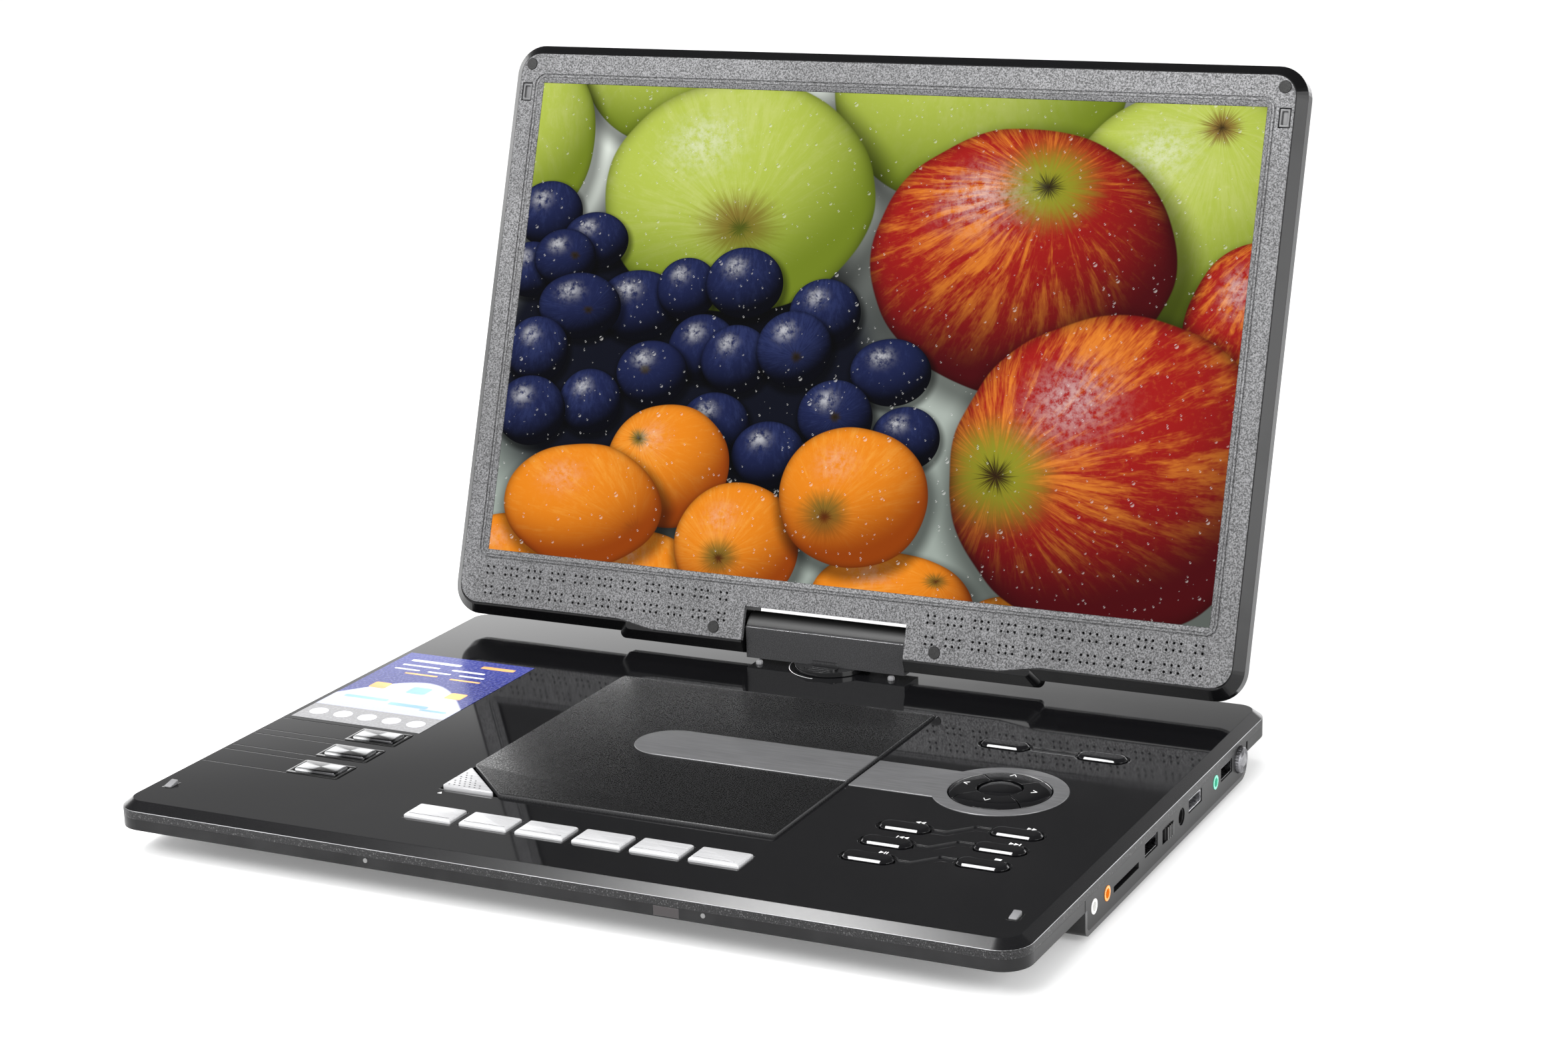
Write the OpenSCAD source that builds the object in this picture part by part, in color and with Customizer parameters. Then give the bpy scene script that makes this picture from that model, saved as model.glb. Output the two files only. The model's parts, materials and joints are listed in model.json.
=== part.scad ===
// Portable disc player with a swivelling screen, shown open with the screen leaning back.
// Origin: on the table under the middle of the deck. +X right, +Y to the rear, +Z up.

/* [Deck] */
// Width of the deck, left to right
deck_w = 370; // [360:1:450]
// Depth of the deck, front to back
deck_d = 265; // [260:1:330]
// Height of the deck's top face above the table
deck_h = 22.2; // [21:0.1:30]
// Radius of the deck's corners, seen from above
deck_r = 11; // [7:0.5:16]
// Wall of the moulded shells
wall = 2; // [1.6:0.1:2.6]
// Width of the polished bevel round the top face
bevel_w = 4; // [2:0.5:6]
// Height of that bevel
bevel_h = 3; // [1:0.5:4]
// Depth of the joint between the two shells, below the top face
split_z = 6; // [5:0.2:7.5]
// Depth of the thin edge of the deck, below the top face
skirt_z = 10.4; // [9:0.2:12]

/* [Tub] */
// Distance of the tub behind the deck's front edge
tub_front_in = 58.5; // [50:0.5:66]
// Distance of the tub ahead of the deck's rear edge
tub_rear_in = 28.5; // [24:0.5:40]
// Radius of the tub's lower rear edge
tub_rear_r = 7; // [3:0.5:8]
// Radius of the tub's lower front edge
tub_front_r = 3; // [2:0.5:4]
// Thickness of the black cover under the tub
cover_t = 1.8; // [1.4:0.1:2.4]
// Height of the rubber feet
foot_h = 2; // [1:0.5:4]
// Radius of the rubber feet
foot_r = 6.5; // [4:0.5:9]

/* [Disc bay] */
// Width of the square bay in the top face
bay_w = 142; // [136:1:160]
// Depth of that bay
bay_d = 146; // [140:1:160]
// Centre of the bay and of the disc, left or right of the middle
bay_x = -4; // [-8:1:0]
// Centre of the bay, front or back of the middle
bay_y = -2; // [-4:0.5:2]
// Gap round the door
door_gap = 0.5; // [0.3:0.1:0.8]
// Height of the door above the top face
door_up = 1.4; // [1:0.1:1.8]
// Thickness of the door
door_t = 2.4; // [2:0.1:2.8]
// Width of the triangular button in the bay's corner
corner_w = 25; // [18:1:34]
// Depth of that button
corner_d = 24; // [18:1:34]
// Radius of the door's hinge pins
door_pin_r = 0.9; // [0.7:0.1:1.1]
// Depth of the bay's floor below the top face
bay_floor_z = 7.5; // [7:0.1:8.4]
// Radius of the disc's centre boss
boss_r = 7.3; // [6:0.1:7.4]
// Radius of the spindle motor
spindle_motor_r = 13; // [10:0.5:14]

/* [Keys] */
// Gap round every key
key_gap = 0.35; // [0.25:0.05:0.5]
// Travel of the keys
key_travel = 0.6; // [0.4:0.1:0.7]
// Travel of the open button
button_travel = 1; // [0.6:0.1:1.2]
// Height of the keys above the top face
key_up = 1.3; // [0.8:0.1:1.8]
// Width of a silver key in the front row
front_key_w = 20.2; // [16:0.2:22]
// Depth of a silver key in the front row
front_key_d = 12.4; // [9:0.2:13]
// Spacing of the front row
front_key_pitch = 23.75; // [23.5:0.25:26]
// Width of a brushed key at the left
side_key_w = 18.6; // [14:0.2:20]
// Depth of a brushed key at the left
side_key_d = 9.4; // [7:0.2:11]
// Spacing of the keys at the left
side_key_pitch = 20; // [17:0.5:23]
// Length of an oval key
oval_key_w = 19.5; // [16:0.5:22]
// Width of an oval key
oval_key_d = 8; // [6:0.2:8.6]
// Spacing of the oval keys, front to back
oval_key_pitch = 16; // [15:0.5:18]
// Outer radius of the four-way pad
pad_r = 19.4; // [17:0.2:21]
// Radius of the round key in the pad
ok_r = 8.4; // [7:0.2:10]
// Width of the silver ring round the pad
ring_w = 6; // [4:0.5:7]
// Half width of the silver band that runs to the door
band_half = 14.5; // [10:0.5:16]

/* [Ports] */
// Width of a flat data socket
data_w = 13.6; // [12:0.2:15]
// Height of a flat data socket
data_h = 5.6; // [5:0.2:6.4]
// Width of the display socket
display_w = 15; // [13:0.2:16]
// Width of the card slot
card_w = 25.6; // [24:0.2:28]
// Radius of the bore of the round jacks
jack_bore_r = 1.8; // [1.5:0.05:2]
// Radius of the bore of the power inlet
inlet_bore_r = 2.75; // [2.5:0.05:3]
// Radius of the volume dial
dial_r = 5.2; // [4:0.1:5.6]
// Travel of the power slider
slider_travel = 3.6; // [2:0.2:4]

/* [Hinge] */
// Distance of both hinge axes ahead of the deck's rear edge
hinge_in = 18; // [17:0.5:24]
// Height of the tilt axis above the deck's top face
tilt_up = 13; // [12.6:0.1:16]
// Lean of the screen behind the vertical
lean = 19; // [0:1:60]
// Half width of the hinge block
block_half = 36.5; // [30:0.5:44]
// Radius of the black hinge barrel
barrel_r = 7.4; // [6:0.1:7.8]
// Radius of the steel tilt pins
pin_r = 3; // [2:0.1:3.6]
// Radius of the swivel's turning disc
disc_r = 16; // [13:0.5:17]
// Radius of the swivel's hollow shaft
shaft_r = 9; // [7:0.5:11]
// Running clearance of the pins and the shaft in their bores
fit_gap = 0.05; // [0.02:0.01:0.1]

/* [Screen lid] */
// Width of the picture
picture_w = 331.2; // [300:0.2:335]
// Height of the picture
picture_h = 207; // [180:0.2:208]
// Height of the picture's lower edge above the tilt axis, along the lid
picture_z = 21.2; // [20:0.2:26]
// Thickness of the lid
lid_t = 16; // [15:0.5:18]
// Distance of the tilt axis behind the bezel's face
axis_deep = 9.5; // [9:0.1:10]
// Distance of the lid's sides inside the deck's sides
lid_side_in = 3.5; // [1:0.5:6]
// Distance of the closed lid's edge behind the deck's front edge
lid_front_in = 1.5; // [0:0.5:4]
// Width of the polished bevel round the bezel
lid_bevel = 4.2; // [3:0.1:6]
// Thickness of the bezel
bezel_t = 2; // [1.8:0.1:2.4]
// Side of the openings in the speaker grilles
grille_hole = 1.2; // [0.8:0.1:1.6]

/* [Hidden] */
$fn = 64;
eps = 0.01;

half_w = deck_w / 2;
half_d = deck_d / 2;
tub_z = deck_h - foot_h;
tub_y0 = -half_d + tub_front_in;
tub_y1 = half_d - tub_rear_in;
plate_t = wall;
board_z = 15;
board_t = 1.4;

// Disc bay and its door
door_w = bay_w - 2 * door_gap;
door_axis_z = 1.6;
roll_r = door_up + door_axis_z;
door_axis_y = bay_y + bay_d / 2 - door_gap - roll_r;
door_front_y = bay_y - bay_d / 2 + door_gap;
collar_t = 3;
collar_z = door_axis_z + roll_r;
bay_wall = 1.6;
well_bottom_z = bay_floor_z + bay_wall;
band_up = 0.3;
band_deep = 0.5;
band_left = bay_x - 26;
band_start = bay_x + bay_w / 2 + door_gap;

// Pickup drive
rod_z = 13;
rod_r = 1.5;
rod_at = 24;
screw_at = 32;
screw_r = 1.5;
spindle_r = 1.2;
hub_hole_r = boss_r + 6.5;
motor_bottom_z = tub_z - cover_t - 0.8;
sled_rest = 25;
sled_travel = 29;
sled_l = 20;
sled_end = sled_rest + sled_travel + sled_l / 2;
rod_span = sled_end + 3;
slot_half = 15;
motor_l = 12;
motor_r = 3.7;

// Keys: places follow the deck's edges and the bay
front_key_x = bay_x + 2.2;
front_key_y = -half_d + 33;
side_key_x = -half_w + 55.6;
side_key_y = -33.8;
pad_x = half_w - 61.8;
pad_y = 0;
oval_x0 = half_w - 79.6;
oval_x1 = half_w - 39.6;
oval_y = -47;
oval_shift = 8.6;
top_oval_y = 48.4;
flange_t = 1;
flange_w = 1;
flange_top = plate_t + 0.3;
key_board_z = flange_top + flange_t + key_travel + 1;
key_board_t = 1.2;
dome_h = 0.7;
recess_w = 2.6;
recess_z = 0.7;
groove_w = 4.4;
groove_z = 0.5;
line_w = 0.4;
line_z = 0.3;

front_keys = [for (i = [0:5]) [front_key_x + (i - 2.5) * front_key_pitch, front_key_y]];
side_keys = [for (i = [0:2]) [side_key_x, side_key_y - i * side_key_pitch]];
oval_keys = concat(
    [[oval_x0, top_oval_y], [oval_x1, top_oval_y]],
    [for (i = [0:2]) each [
        [oval_x0, oval_y - i * oval_key_pitch],
        [oval_x1, oval_y + oval_shift - i * oval_key_pitch]]]
);

// Ports on the right wall: places along Y, and depths below the top face
wall_x = half_w - wall;
white_y = -65.5;
orange_y = -52.6;
card_y = -33.3;
data_ys = [-7.2, 78.3];
slider_y = 10.7;
inlet_y = 26;
display_y = 41.4;
green_y = 65.2;
dial_y = 94.2;
jack_z = 11.3;
green_z = 10.2;
card_z = 12.5;
card_h = 2.4;
data_z = 9.6;
display_z = 9.4;
display_h = 5.4;
slider_z = 11.2;
slider_h = 5.6;
slider_w = 7.6;
inlet_z = 10.4;
dial_z = 10.6;
jack_r = 2.9;
socket_l = 12;
dial_out = 1.8;

round_ports = [
    [white_y, jack_z, jack_r], [orange_y, jack_z, jack_r], [green_y, green_z, jack_r],
    [inlet_y, inlet_z, inlet_bore_r + 0.6], [dial_y, dial_z, dial_r + 0.3]
];

// Windows in the front edge
remote_x = 53;
remote_w = 10;
remote_h = 3.6;
window_z = 8.2;
lamp_xs = [-70.7, 67.5];
lamp_z = 7.4;
lamp_r = 0.9;
seam = 0.5;

// Screws and their posts
deck_screw_x = half_w - bevel_w - 12;
deck_screw_y = half_d - bevel_w - 10;
tub_screw_x = wall_x - 16;
foot_x = half_w - 40;
post_r = 3.4;
post_h = 7.5;
screw_shank = 1.3;
screw_head = 2.6;
screw_head_h = 1;

// Printed label on the deck
label_w = 61.5;
label_d = 90;
label_x = -half_w + bevel_w + 2.6 + label_w / 2;
label_y = 21.5;
label_t = 0.15;

// Bumpers and catches
post_shank = 1.5;
catch_x = half_w - 11.3;
catch_y = -half_d + 22.8;
catch_w = 3;
catch_l = 5.2;
catch_up = 1.5;

// Hinge
tilt_y = half_d - hinge_in;
tilt_z = deck_h + tilt_up;
turn_gap = 0.25;
turn_t = 2;
turn_flange_r = shaft_r + 3;
turn_boss_r = shaft_r + 5;
block_front = 7.6;
notch_gap = 0.8;
notch_half = block_half + notch_gap;
notch_top = barrel_r + 1.3;
ear_w = 12;

// Lid, in its own frame: origin on the tilt axis, X right, Y to its back, Z up along it
lid_half = half_w - lid_side_in;
lid_top = tilt_y + half_d - lid_front_in;
lid_low = -7.8;
tongue_low = -10.8;
tongue_half0 = 97;
tongue_half1 = 80;
lid_r = 13;
face_y = -axis_deep;
back_y = lid_t - axis_deep;
lip_deep = 3.8;
side_deep = 9;
bezel_half = lid_half - lid_bevel;
bezel_top = lid_top - lid_bevel;
bezel_low = lid_low + lid_bevel + 0.8;
bezel_tongue = tongue_low + lid_bevel + 0.8;
bezel_r = lid_r - 4;
glass_deep = 1;
glass_t = 1.4;
frame_t = 3.6;
panel_rim = 4.5;
catch_z = tilt_y - catch_y;
pad_in = 4.7;
pad_x0 = bezel_half - pad_in;
pad_z0 = bezel_top - pad_in;
pads = [[-pad_x0, pad_z0], [pad_x0, pad_z0], [-51, -1.6], [51, -1.6]];
pad_hole_r = 2.6;

speaker_x = 105;
speaker_z = 7.6;

// Speaker grilles: groups of openings beside the hinge
group_pitch = 11.75;
hole_pitch = 2.95;
grille_x = 47.9;
grille_rows = [13.3, 4.5];

// ---- shared shapes ----

module rrect(w, d, r) {
    square([w - 2 * r, d], center = true);
    square([w, d - 2 * r], center = true);
    for (x = [-1, 1], y = [-1, 1]) translate([x * (w / 2 - r), y * (d / 2 - r)]) circle(r);
}

// A block whose lower face is at z0 and upper face at z1
module rblock(w, d, r, z0, z1) {
    translate([0, 0, z0]) linear_extrude(z1 - z0) rrect(w, d, r);
}

module block(w, d, z0, z1) {
    translate([-w / 2, -d / 2, z0]) cube([w, d, z1 - z0]);
}

module stadium(w, d) {
    square([w - d, d], center = true);
    for (x = [-1, 1]) translate([x * (w - d) / 2, 0]) circle(d / 2);
}

module rod_x(r, x0, x1) {
    translate([x0, 0, 0]) rotate([0, 90, 0]) cylinder(r = r, h = x1 - x0);
}

module rod_y(r, y0, y1) {
    translate([0, y0, 0]) rotate([-90, 0, 0]) cylinder(r = r, h = y1 - y0);
}

// Height zero is the deck's top face
module at_top() {
    translate([0, 0, deck_h]) children();
}

module at_lid() {
    translate([0, tilt_y, tilt_z]) rotate([-lean, 0, 0]) children();
}

// Extrudes a flat outline drawn in lid X and Z from depth y0 to depth y1
module lid_slab(y0, y1) {
    translate([0, y1, 0]) rotate([90, 0, 0]) linear_extrude(y1 - y0) children();
}

// Extrudes a side profile drawn in Y and Z across the deck
module across(w) {
    translate([-w / 2, 0, 0]) rotate([90, 0, 90]) linear_extrude(w) children();
}

// ---- deck shells ----

module deck_plate() {
    hull() for (x = [-1, 1], y = [-1, 1])
        translate([x * (half_w - deck_r), y * (half_d - deck_r), 0]) {
            translate([0, 0, -split_z]) cylinder(r = deck_r, h = split_z - bevel_h);
            translate([0, 0, -bevel_h]) cylinder(r1 = deck_r, r2 = deck_r - bevel_w, h = bevel_h);
        }
}

// A bent groove that joins the recesses of two oval keys
module key_groove(a, b) {
    mid0 = a + [(b[0] - a[0]) * 0.4, 0];
    mid1 = [a[0] + (b[0] - a[0]) * 0.6, b[1]];
    for (s = [[a, mid0], [mid0, mid1], [mid1, b]]) {
        step = s[1] - s[0];
        translate([s[0][0], s[0][1], -groove_z]) {
            rotate([0, 0, atan2(step[1], step[0])]) translate([0, -groove_w / 2, 0])
                cube([norm(step), groove_w, 1]);
            cylinder(d = groove_w + 0.2, h = 1);
        }
    }
}

module key_holes() {
    for (k = front_keys) translate(k)
        block(front_key_w + 2 * key_gap, front_key_d + 2 * key_gap, -plate_t - eps, eps);
    for (k = side_keys) translate(k)
        block(side_key_w + 2 * key_gap + 1, side_key_d + 2 * key_gap + 1, -plate_t - eps, eps);
    for (k = oval_keys) translate(k) {
        translate([0, 0, -plate_t - eps]) linear_extrude(plate_t + 1)
            stadium(oval_key_w + 2 * key_gap, oval_key_d + 2 * key_gap);
        translate([0, 0, -recess_z]) linear_extrude(1)
            stadium(oval_key_w + recess_w, oval_key_d + recess_w);
    }
    for (i = [0:3]) key_groove(oval_keys[2 * i], oval_keys[2 * i + 1]);
    translate([pad_x, pad_y, -plate_t - eps]) cylinder(r = pad_r + key_gap, h = plate_t + 1, $fn = 96);
}

// Thin engraved lines that run from the brushed keys to the deck's left side
module key_lines() {
    for (k = side_keys) {
        x1 = k[0] + side_key_w / 2 + 2.6;
        x0 = -half_w + bevel_w + 1;
        for (y = [-1, 1]) translate([x0, k[1] + y * (side_key_d / 2 + 2.6) - line_w / 2, -line_z])
            cube([x1 - x0, line_w, 1]);
        translate([x1 - line_w, k[1] - side_key_d / 2 - 2.6, -line_z])
            cube([line_w, side_key_d + 5.2, 1]);
    }
}

module top_deck() {
    inner_w = deck_w - 2 * bevel_w - 2;
    inner_d = deck_d - 2 * bevel_w - 2;
    color([0.06, 0.06, 0.065]) at_top() difference() {
        union() {
            difference() {
                deck_plate();
                rblock(inner_w, inner_d, deck_r - bevel_w, -split_z - eps, -plate_t);
            }
            translate([bay_x, bay_y, 0])
                block(bay_w + 2 * collar_t, bay_d + 2 * collar_t, -collar_z, -plate_t / 2);
            translate([0, tilt_y, -2 * plate_t]) cylinder(r = turn_boss_r, h = 1.5 * plate_t);
            at_deck_screws() translate([0, 0, -split_z]) cylinder(r = post_r, h = split_z - plate_t / 2);
        }
        translate([bay_x, bay_y, 0]) block(bay_w, bay_d, -collar_z - eps, eps);
        translate([0, door_axis_y, -door_axis_z])
            rod_x(door_pin_r + fit_gap, bay_x - bay_w / 2 - 2.2, bay_x + bay_w / 2 + 2.2);
        key_holes();
        key_lines();
        translate([0, 0, -band_deep]) linear_extrude(1) band_plan(0.1);
        translate([0, tilt_y, -split_z]) cylinder(r = shaft_r + fit_gap, h = split_z + 1);
        translate([0, dial_y, -dial_z]) rod_x(dial_r + 0.3, half_w - bevel_w - 2, half_w + 1);
        for (x = [-1, 1]) translate([x * catch_x, catch_y, -plate_t - eps])
            cylinder(r = post_shank, h = plate_t + 1);
        at_deck_screws() translate([0, 0, -split_z - 1]) cylinder(r = screw_shank, h = split_z + 1 - plate_t);
    }
}

// Side profile of the tub: Y across, Z up, drawn smaller by the given inset
module tub_profile(inset) {
    y0 = tub_y0 + inset;
    y1 = tub_y1 - inset;
    z0 = -tub_z + inset;
    rf = tub_front_r - inset / 2;
    rr = tub_rear_r - inset / 2;
    translate([y0, z0 + rr]) square([y1 - y0, -split_z - z0 - rr]);
    translate([y0, z0 + rf]) square([y1 - y0 - rr, -split_z - z0 - rf]);
    translate([y0 + rf, z0]) square([y1 - y0 - rr - rf, rr + 1]);
    translate([y0 + rf, z0 + rf]) circle(rf);
    translate([y1 - rr, z0 + rr]) circle(rr);
}

module port_holes() {
    for (y = data_ys) translate([wall_x, y, -data_z]) port_slot(data_w, data_h);
    translate([wall_x, display_y, -display_z]) port_slot(display_w, display_h);
    translate([wall_x, card_y, -card_z]) port_slot(card_w, card_h);
    translate([wall_x, slider_y, -slider_z]) port_slot(slider_w + slider_travel + 0.6, slider_h);
    for (p = round_ports) translate([0, p[0], -p[1]]) rod_x(p[2], wall_x - 1, half_w + 1);
}

// An opening through the right wall, centred on the origin
module port_slot(w, h) {
    translate([-1, -w / 2, -h / 2]) cube([wall + 2, w, h]);
}

// Screw places in the deck's corners and in the tub's corners
module at_deck_screws() {
    for (x = [-1, 1], y = [-1, 1]) translate([x * deck_screw_x, y * deck_screw_y, 0]) children();
}

module at_tub_screws() {
    for (x = [-1, 1], y = [tub_y0 + tub_front_r + post_r + 1, tub_y1 - tub_rear_r - post_r - fit_gap])
        translate([x * tub_screw_x, y, 0]) children();
}

module bottom_case() {
    color([0.36, 0.36, 0.37]) at_top() difference() {
        union() {
            difference() {
                rblock(deck_w, deck_d, deck_r, -skirt_z, -split_z);
                rblock(deck_w - 2 * wall, deck_d - 2 * wall, deck_r - wall, -skirt_z + wall, -split_z + eps);
                translate([-wall_x, tub_y0 + cover_t, -skirt_z - eps])
                    cube([2 * wall_x, tub_y1 - tub_y0 - 2 * cover_t, wall + 1]);
            }
            for (x = [-half_w, wall_x]) translate([x + wall / 2, 0, 0]) across(wall) tub_profile(cover_t);
            at_deck_screws() translate([0, 0, -skirt_z]) cylinder(r = post_r, h = skirt_z - split_z);
            at_tub_screws() translate([0, 0, -tub_z + cover_t]) cylinder(r = post_r, h = post_h);
        }
        port_holes();
        translate([bay_x, bay_y, 0])
            block(bay_w + 2 * bay_wall + 0.4, bay_d + 2 * bay_wall + 0.4, -well_bottom_z - 0.1, -split_z);
        at_tub_screws() translate([0, 0, -tub_z]) cylinder(r = screw_shank, h = cover_t + post_h);
        at_deck_screws() translate([0, 0, -skirt_z - eps]) {
            cylinder(r = screw_shank, h = skirt_z);
            cylinder(r = screw_head + 0.2, h = 1.4);
        }
        translate([remote_x, -half_d, -window_z]) translate([-remote_w / 2, -1, -remote_h / 2])
            cube([remote_w, wall + 2, remote_h]);
        for (x = lamp_xs) translate([x, -half_d, -lamp_z]) rod_y(lamp_r, -1, wall + 1);
        for (x = [-half_w, half_w]) {
            translate([x - seam / 2, tub_y0 - seam, -skirt_z - eps]) cube([seam, seam, skirt_z]);
            translate([x - seam, tub_y1 - cover_t, -skirt_z - eps]) cube([2 * seam, cover_t, skirt_z]);
        }
    }
}

module base_cover() {
    color([0.05, 0.05, 0.055]) at_top() difference() {
        across(deck_w) difference() {
            tub_profile(0);
            tub_profile(cover_t);
            translate([-deck_d, -skirt_z]) square([2 * deck_d, skirt_z]);
        }
        at_tub_screws() translate([0, 0, -tub_z - eps]) {
            cylinder(r = screw_shank, h = cover_t + 1);
            cylinder(r = screw_head + 0.2, h = screw_head_h + 0.2 + eps);
        }
    }
}

module feet() {
    color([0.04, 0.04, 0.04]) for (x = [-1, 1], y = [tub_y0 + 22, tub_y1 - tub_rear_r - foot_r])
        translate([x * foot_x, y, 0]) {
            cylinder(r1 = foot_r - 0.6, r2 = foot_r, h = 0.6);
            translate([0, 0, 0.6]) cylinder(r = foot_r, h = foot_h - 0.6);
        }
}

module screw(h) {
    cylinder(r = screw_head, h = screw_head_h);
    cylinder(r = screw_shank, h = h);
}

module case_screws() {
    color([0.2, 0.2, 0.21]) at_top() {
        at_tub_screws() translate([0, 0, -tub_z + 0.2]) screw(7);
        at_deck_screws() translate([0, 0, -skirt_z + 0.2]) screw(7);
    }
}

// Plan of the silver ring and of its band, which ends at the door
module band_plan(grow) {
    translate([pad_x, pad_y]) circle(pad_r + key_gap + ring_w + grow, $fn = 128);
    translate([band_start - grow, -band_half - grow])
        square([pad_x - band_start + grow, 2 * (band_half + grow)]);
}

module ring_trim() {
    color([0.56, 0.57, 0.58]) at_top() translate([0, 0, -band_deep]) linear_extrude(band_deep + band_up)
        difference() {
            band_plan(0);
            translate([pad_x, pad_y]) circle(pad_r + key_gap, $fn = 128);
        }
}

module feature_label() {
    color([0.6, 0.61, 0.66]) at_top() translate([label_x, label_y, 0])
        translate([-label_w / 2, -label_d / 2, 0]) cube([label_w, label_d, label_t]);
}

// The sloped catches at the front, and the two stops beside the swivel
module rubber_bumpers() {
    color([0.05, 0.05, 0.05]) at_top() {
        for (x = [-1, 1]) translate([x * catch_x, catch_y, 0]) {
            translate([0, 0, -plate_t - 1]) cylinder(r = post_shank - fit_gap, h = plate_t + 1);
            hull() {
                block(catch_w, catch_l, 0, 0.4);
                translate([0, catch_l / 2 - 0.6, 0]) block(catch_w, 1.2, 0, catch_up);
            }
        }
        for (x = [-1, 1]) translate([x * (block_half - 6), tilt_y - block_front, 0]) {
            cylinder(r = 1.5, h = 1);
            translate([0, 0, 1]) cylinder(r1 = 1.5, r2 = 0.8, h = 0.6);
        }
    }
}

// ---- disc bay ----

// The pan under the door. Its floor is open for the hub and for the pickup's travel.
module disc_well() {
    color([0.12, 0.12, 0.125]) at_top() translate([bay_x, bay_y, 0]) {
        difference() {
            block(bay_w + 2 * bay_wall, bay_d + 2 * bay_wall, -well_bottom_z, -collar_z);
            block(bay_w, bay_d, -bay_floor_z, 1);
            translate([0, 0, -well_bottom_z - eps]) cylinder(r = hub_hole_r, h = bay_wall + 1);
            translate([-slot_half, -sled_end - 4, -well_bottom_z - eps])
                cube([2 * slot_half, sled_end + 4, bay_wall + 1]);
        }
        for (x = [-rod_at, rod_at], y = [-rod_span, -1]) translate([x, y, 0]) difference() {
            block(6, 4, -rod_z - 3, -well_bottom_z + 0.2);
            translate([0, 0, -rod_z]) rod_y(rod_r, -3, 3);
        }
        translate([screw_at, -rod_span, 0]) difference() {
            block(5, 4, -rod_z - 3, -well_bottom_z + 0.2);
            translate([0, 0, -rod_z]) rod_y(0.8 + fit_gap, -3, 3);
        }
    }
}

module drive_motors() {
    color([0.62, 0.62, 0.63]) at_top() translate([bay_x, bay_y, 0]) {
        difference() {
            translate([0, 0, -motor_bottom_z])
                cylinder(r = spindle_motor_r, h = motor_bottom_z - well_bottom_z - 0.3);
            translate([0, 0, -motor_bottom_z + 1.5]) cylinder(r = spindle_r + fit_gap, h = motor_bottom_z);
        }
        translate([screw_at, 0, -rod_z]) difference() {
            rod_y(motor_r, 1.5, 1.5 + motor_l);
            rod_y(0.8 + fit_gap, 1, 6);
        }
    }
}

module guide_rods() {
    color([0.75, 0.75, 0.76]) at_top() translate([bay_x, bay_y, -rod_z])
        for (x = [-rod_at, rod_at]) translate([x, 0, 0]) rod_y(rod_r, -rod_span - 2, 1);
}

module spindle_hub() {
    color([0.1, 0.1, 0.1]) at_top() translate([bay_x, bay_y, 0]) {
        translate([0, 0, -motor_bottom_z + 2]) cylinder(r = spindle_r, h = motor_bottom_z - 8);
        translate([0, 0, -6.6]) cylinder(r = boss_r + 5, h = 1.6);
        translate([0, 0, -5]) cylinder(r = boss_r, h = 1.4);
        translate([0, 0, -3.6]) cylinder(r1 = boss_r, r2 = boss_r - 1.6, h = 1);
    }
}

module pickup_sled() {
    color([0.15, 0.15, 0.16]) at_top() translate([bay_x, bay_y - sled_rest, 0]) difference() {
        union() {
            block(2 * slot_half - 1.2, sled_l, -rod_z - 3, -well_bottom_z + 0.4);
            block(2 * rod_at + 7, 8, -rod_z - 3, -rod_z + 2.6);
            translate([screw_at, 0, 0]) block(11, 6, -rod_z - 3, -rod_z + 2.6);
        }
        for (x = [-rod_at, rod_at]) translate([x, 0, -rod_z]) rod_y(rod_r + fit_gap, -sled_l, sled_l);
        translate([screw_at, 0, -rod_z]) rod_y(screw_r + 0.3, -sled_l, sled_l);
        translate([0, 0, -well_bottom_z - 1]) cylinder(r = 4, h = 3);
    }
}

module pickup_lens() {
    color([0.35, 0.45, 0.6]) at_top() translate([bay_x, bay_y - sled_rest, -well_bottom_z - 1])  {
        cylinder(r = 4, h = 1.6);
        translate([0, 0, 1.6]) cylinder(r1 = 2.6, r2 = 1.8, h = 0.7);
    }
}

module lead_screw() {
    color([0.8, 0.7, 0.45]) at_top() translate([bay_x + screw_at, bay_y, -rod_z]) {
        rod_y(screw_r, -rod_span + 2.3, 1.2);
        rod_y(0.8, -rod_span - 1.5, 5.5);
    }
}

module door_outline() {
    x0 = bay_x - door_w / 2;
    x1 = bay_x + door_w / 2;
    polygon([
        [x0, door_axis_y], [x1, door_axis_y], [x1, door_front_y],
        [x0 + corner_w + door_gap, door_front_y], [x0, door_front_y + corner_d + door_gap]
    ]);
}

module band_on_door(grow) {
    x1 = bay_x + door_w / 2;
    translate([band_left + band_half, 0]) circle(band_half + grow, $fn = 96);
    translate([band_left + band_half, -band_half - grow])
        square([x1 - band_left - band_half + 1, 2 * (band_half + grow)]);
}

module disc_door() {
    color([0.05, 0.05, 0.05]) at_top() difference() {
        union() {
            translate([0, 0, door_up - door_t]) linear_extrude(door_t) door_outline();
            translate([0, door_axis_y, -door_axis_z]) {
                rod_x(roll_r, bay_x - door_w / 2, bay_x + door_w / 2);
                rod_x(door_pin_r, bay_x - bay_w / 2 - 2, bay_x + bay_w / 2 + 2);
            }
        }
        translate([0, 0, door_up - band_deep]) linear_extrude(1) band_on_door(0.1);
    }
}

module door_band() {
    color([0.56, 0.57, 0.58]) at_top() translate([0, 0, door_up - band_deep])
        linear_extrude(band_deep + band_up)
        intersection() {
            band_on_door(0);
            translate([bay_x - door_w / 2, -bay_d]) square([door_w, 2 * bay_d]);
        }
}

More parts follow.
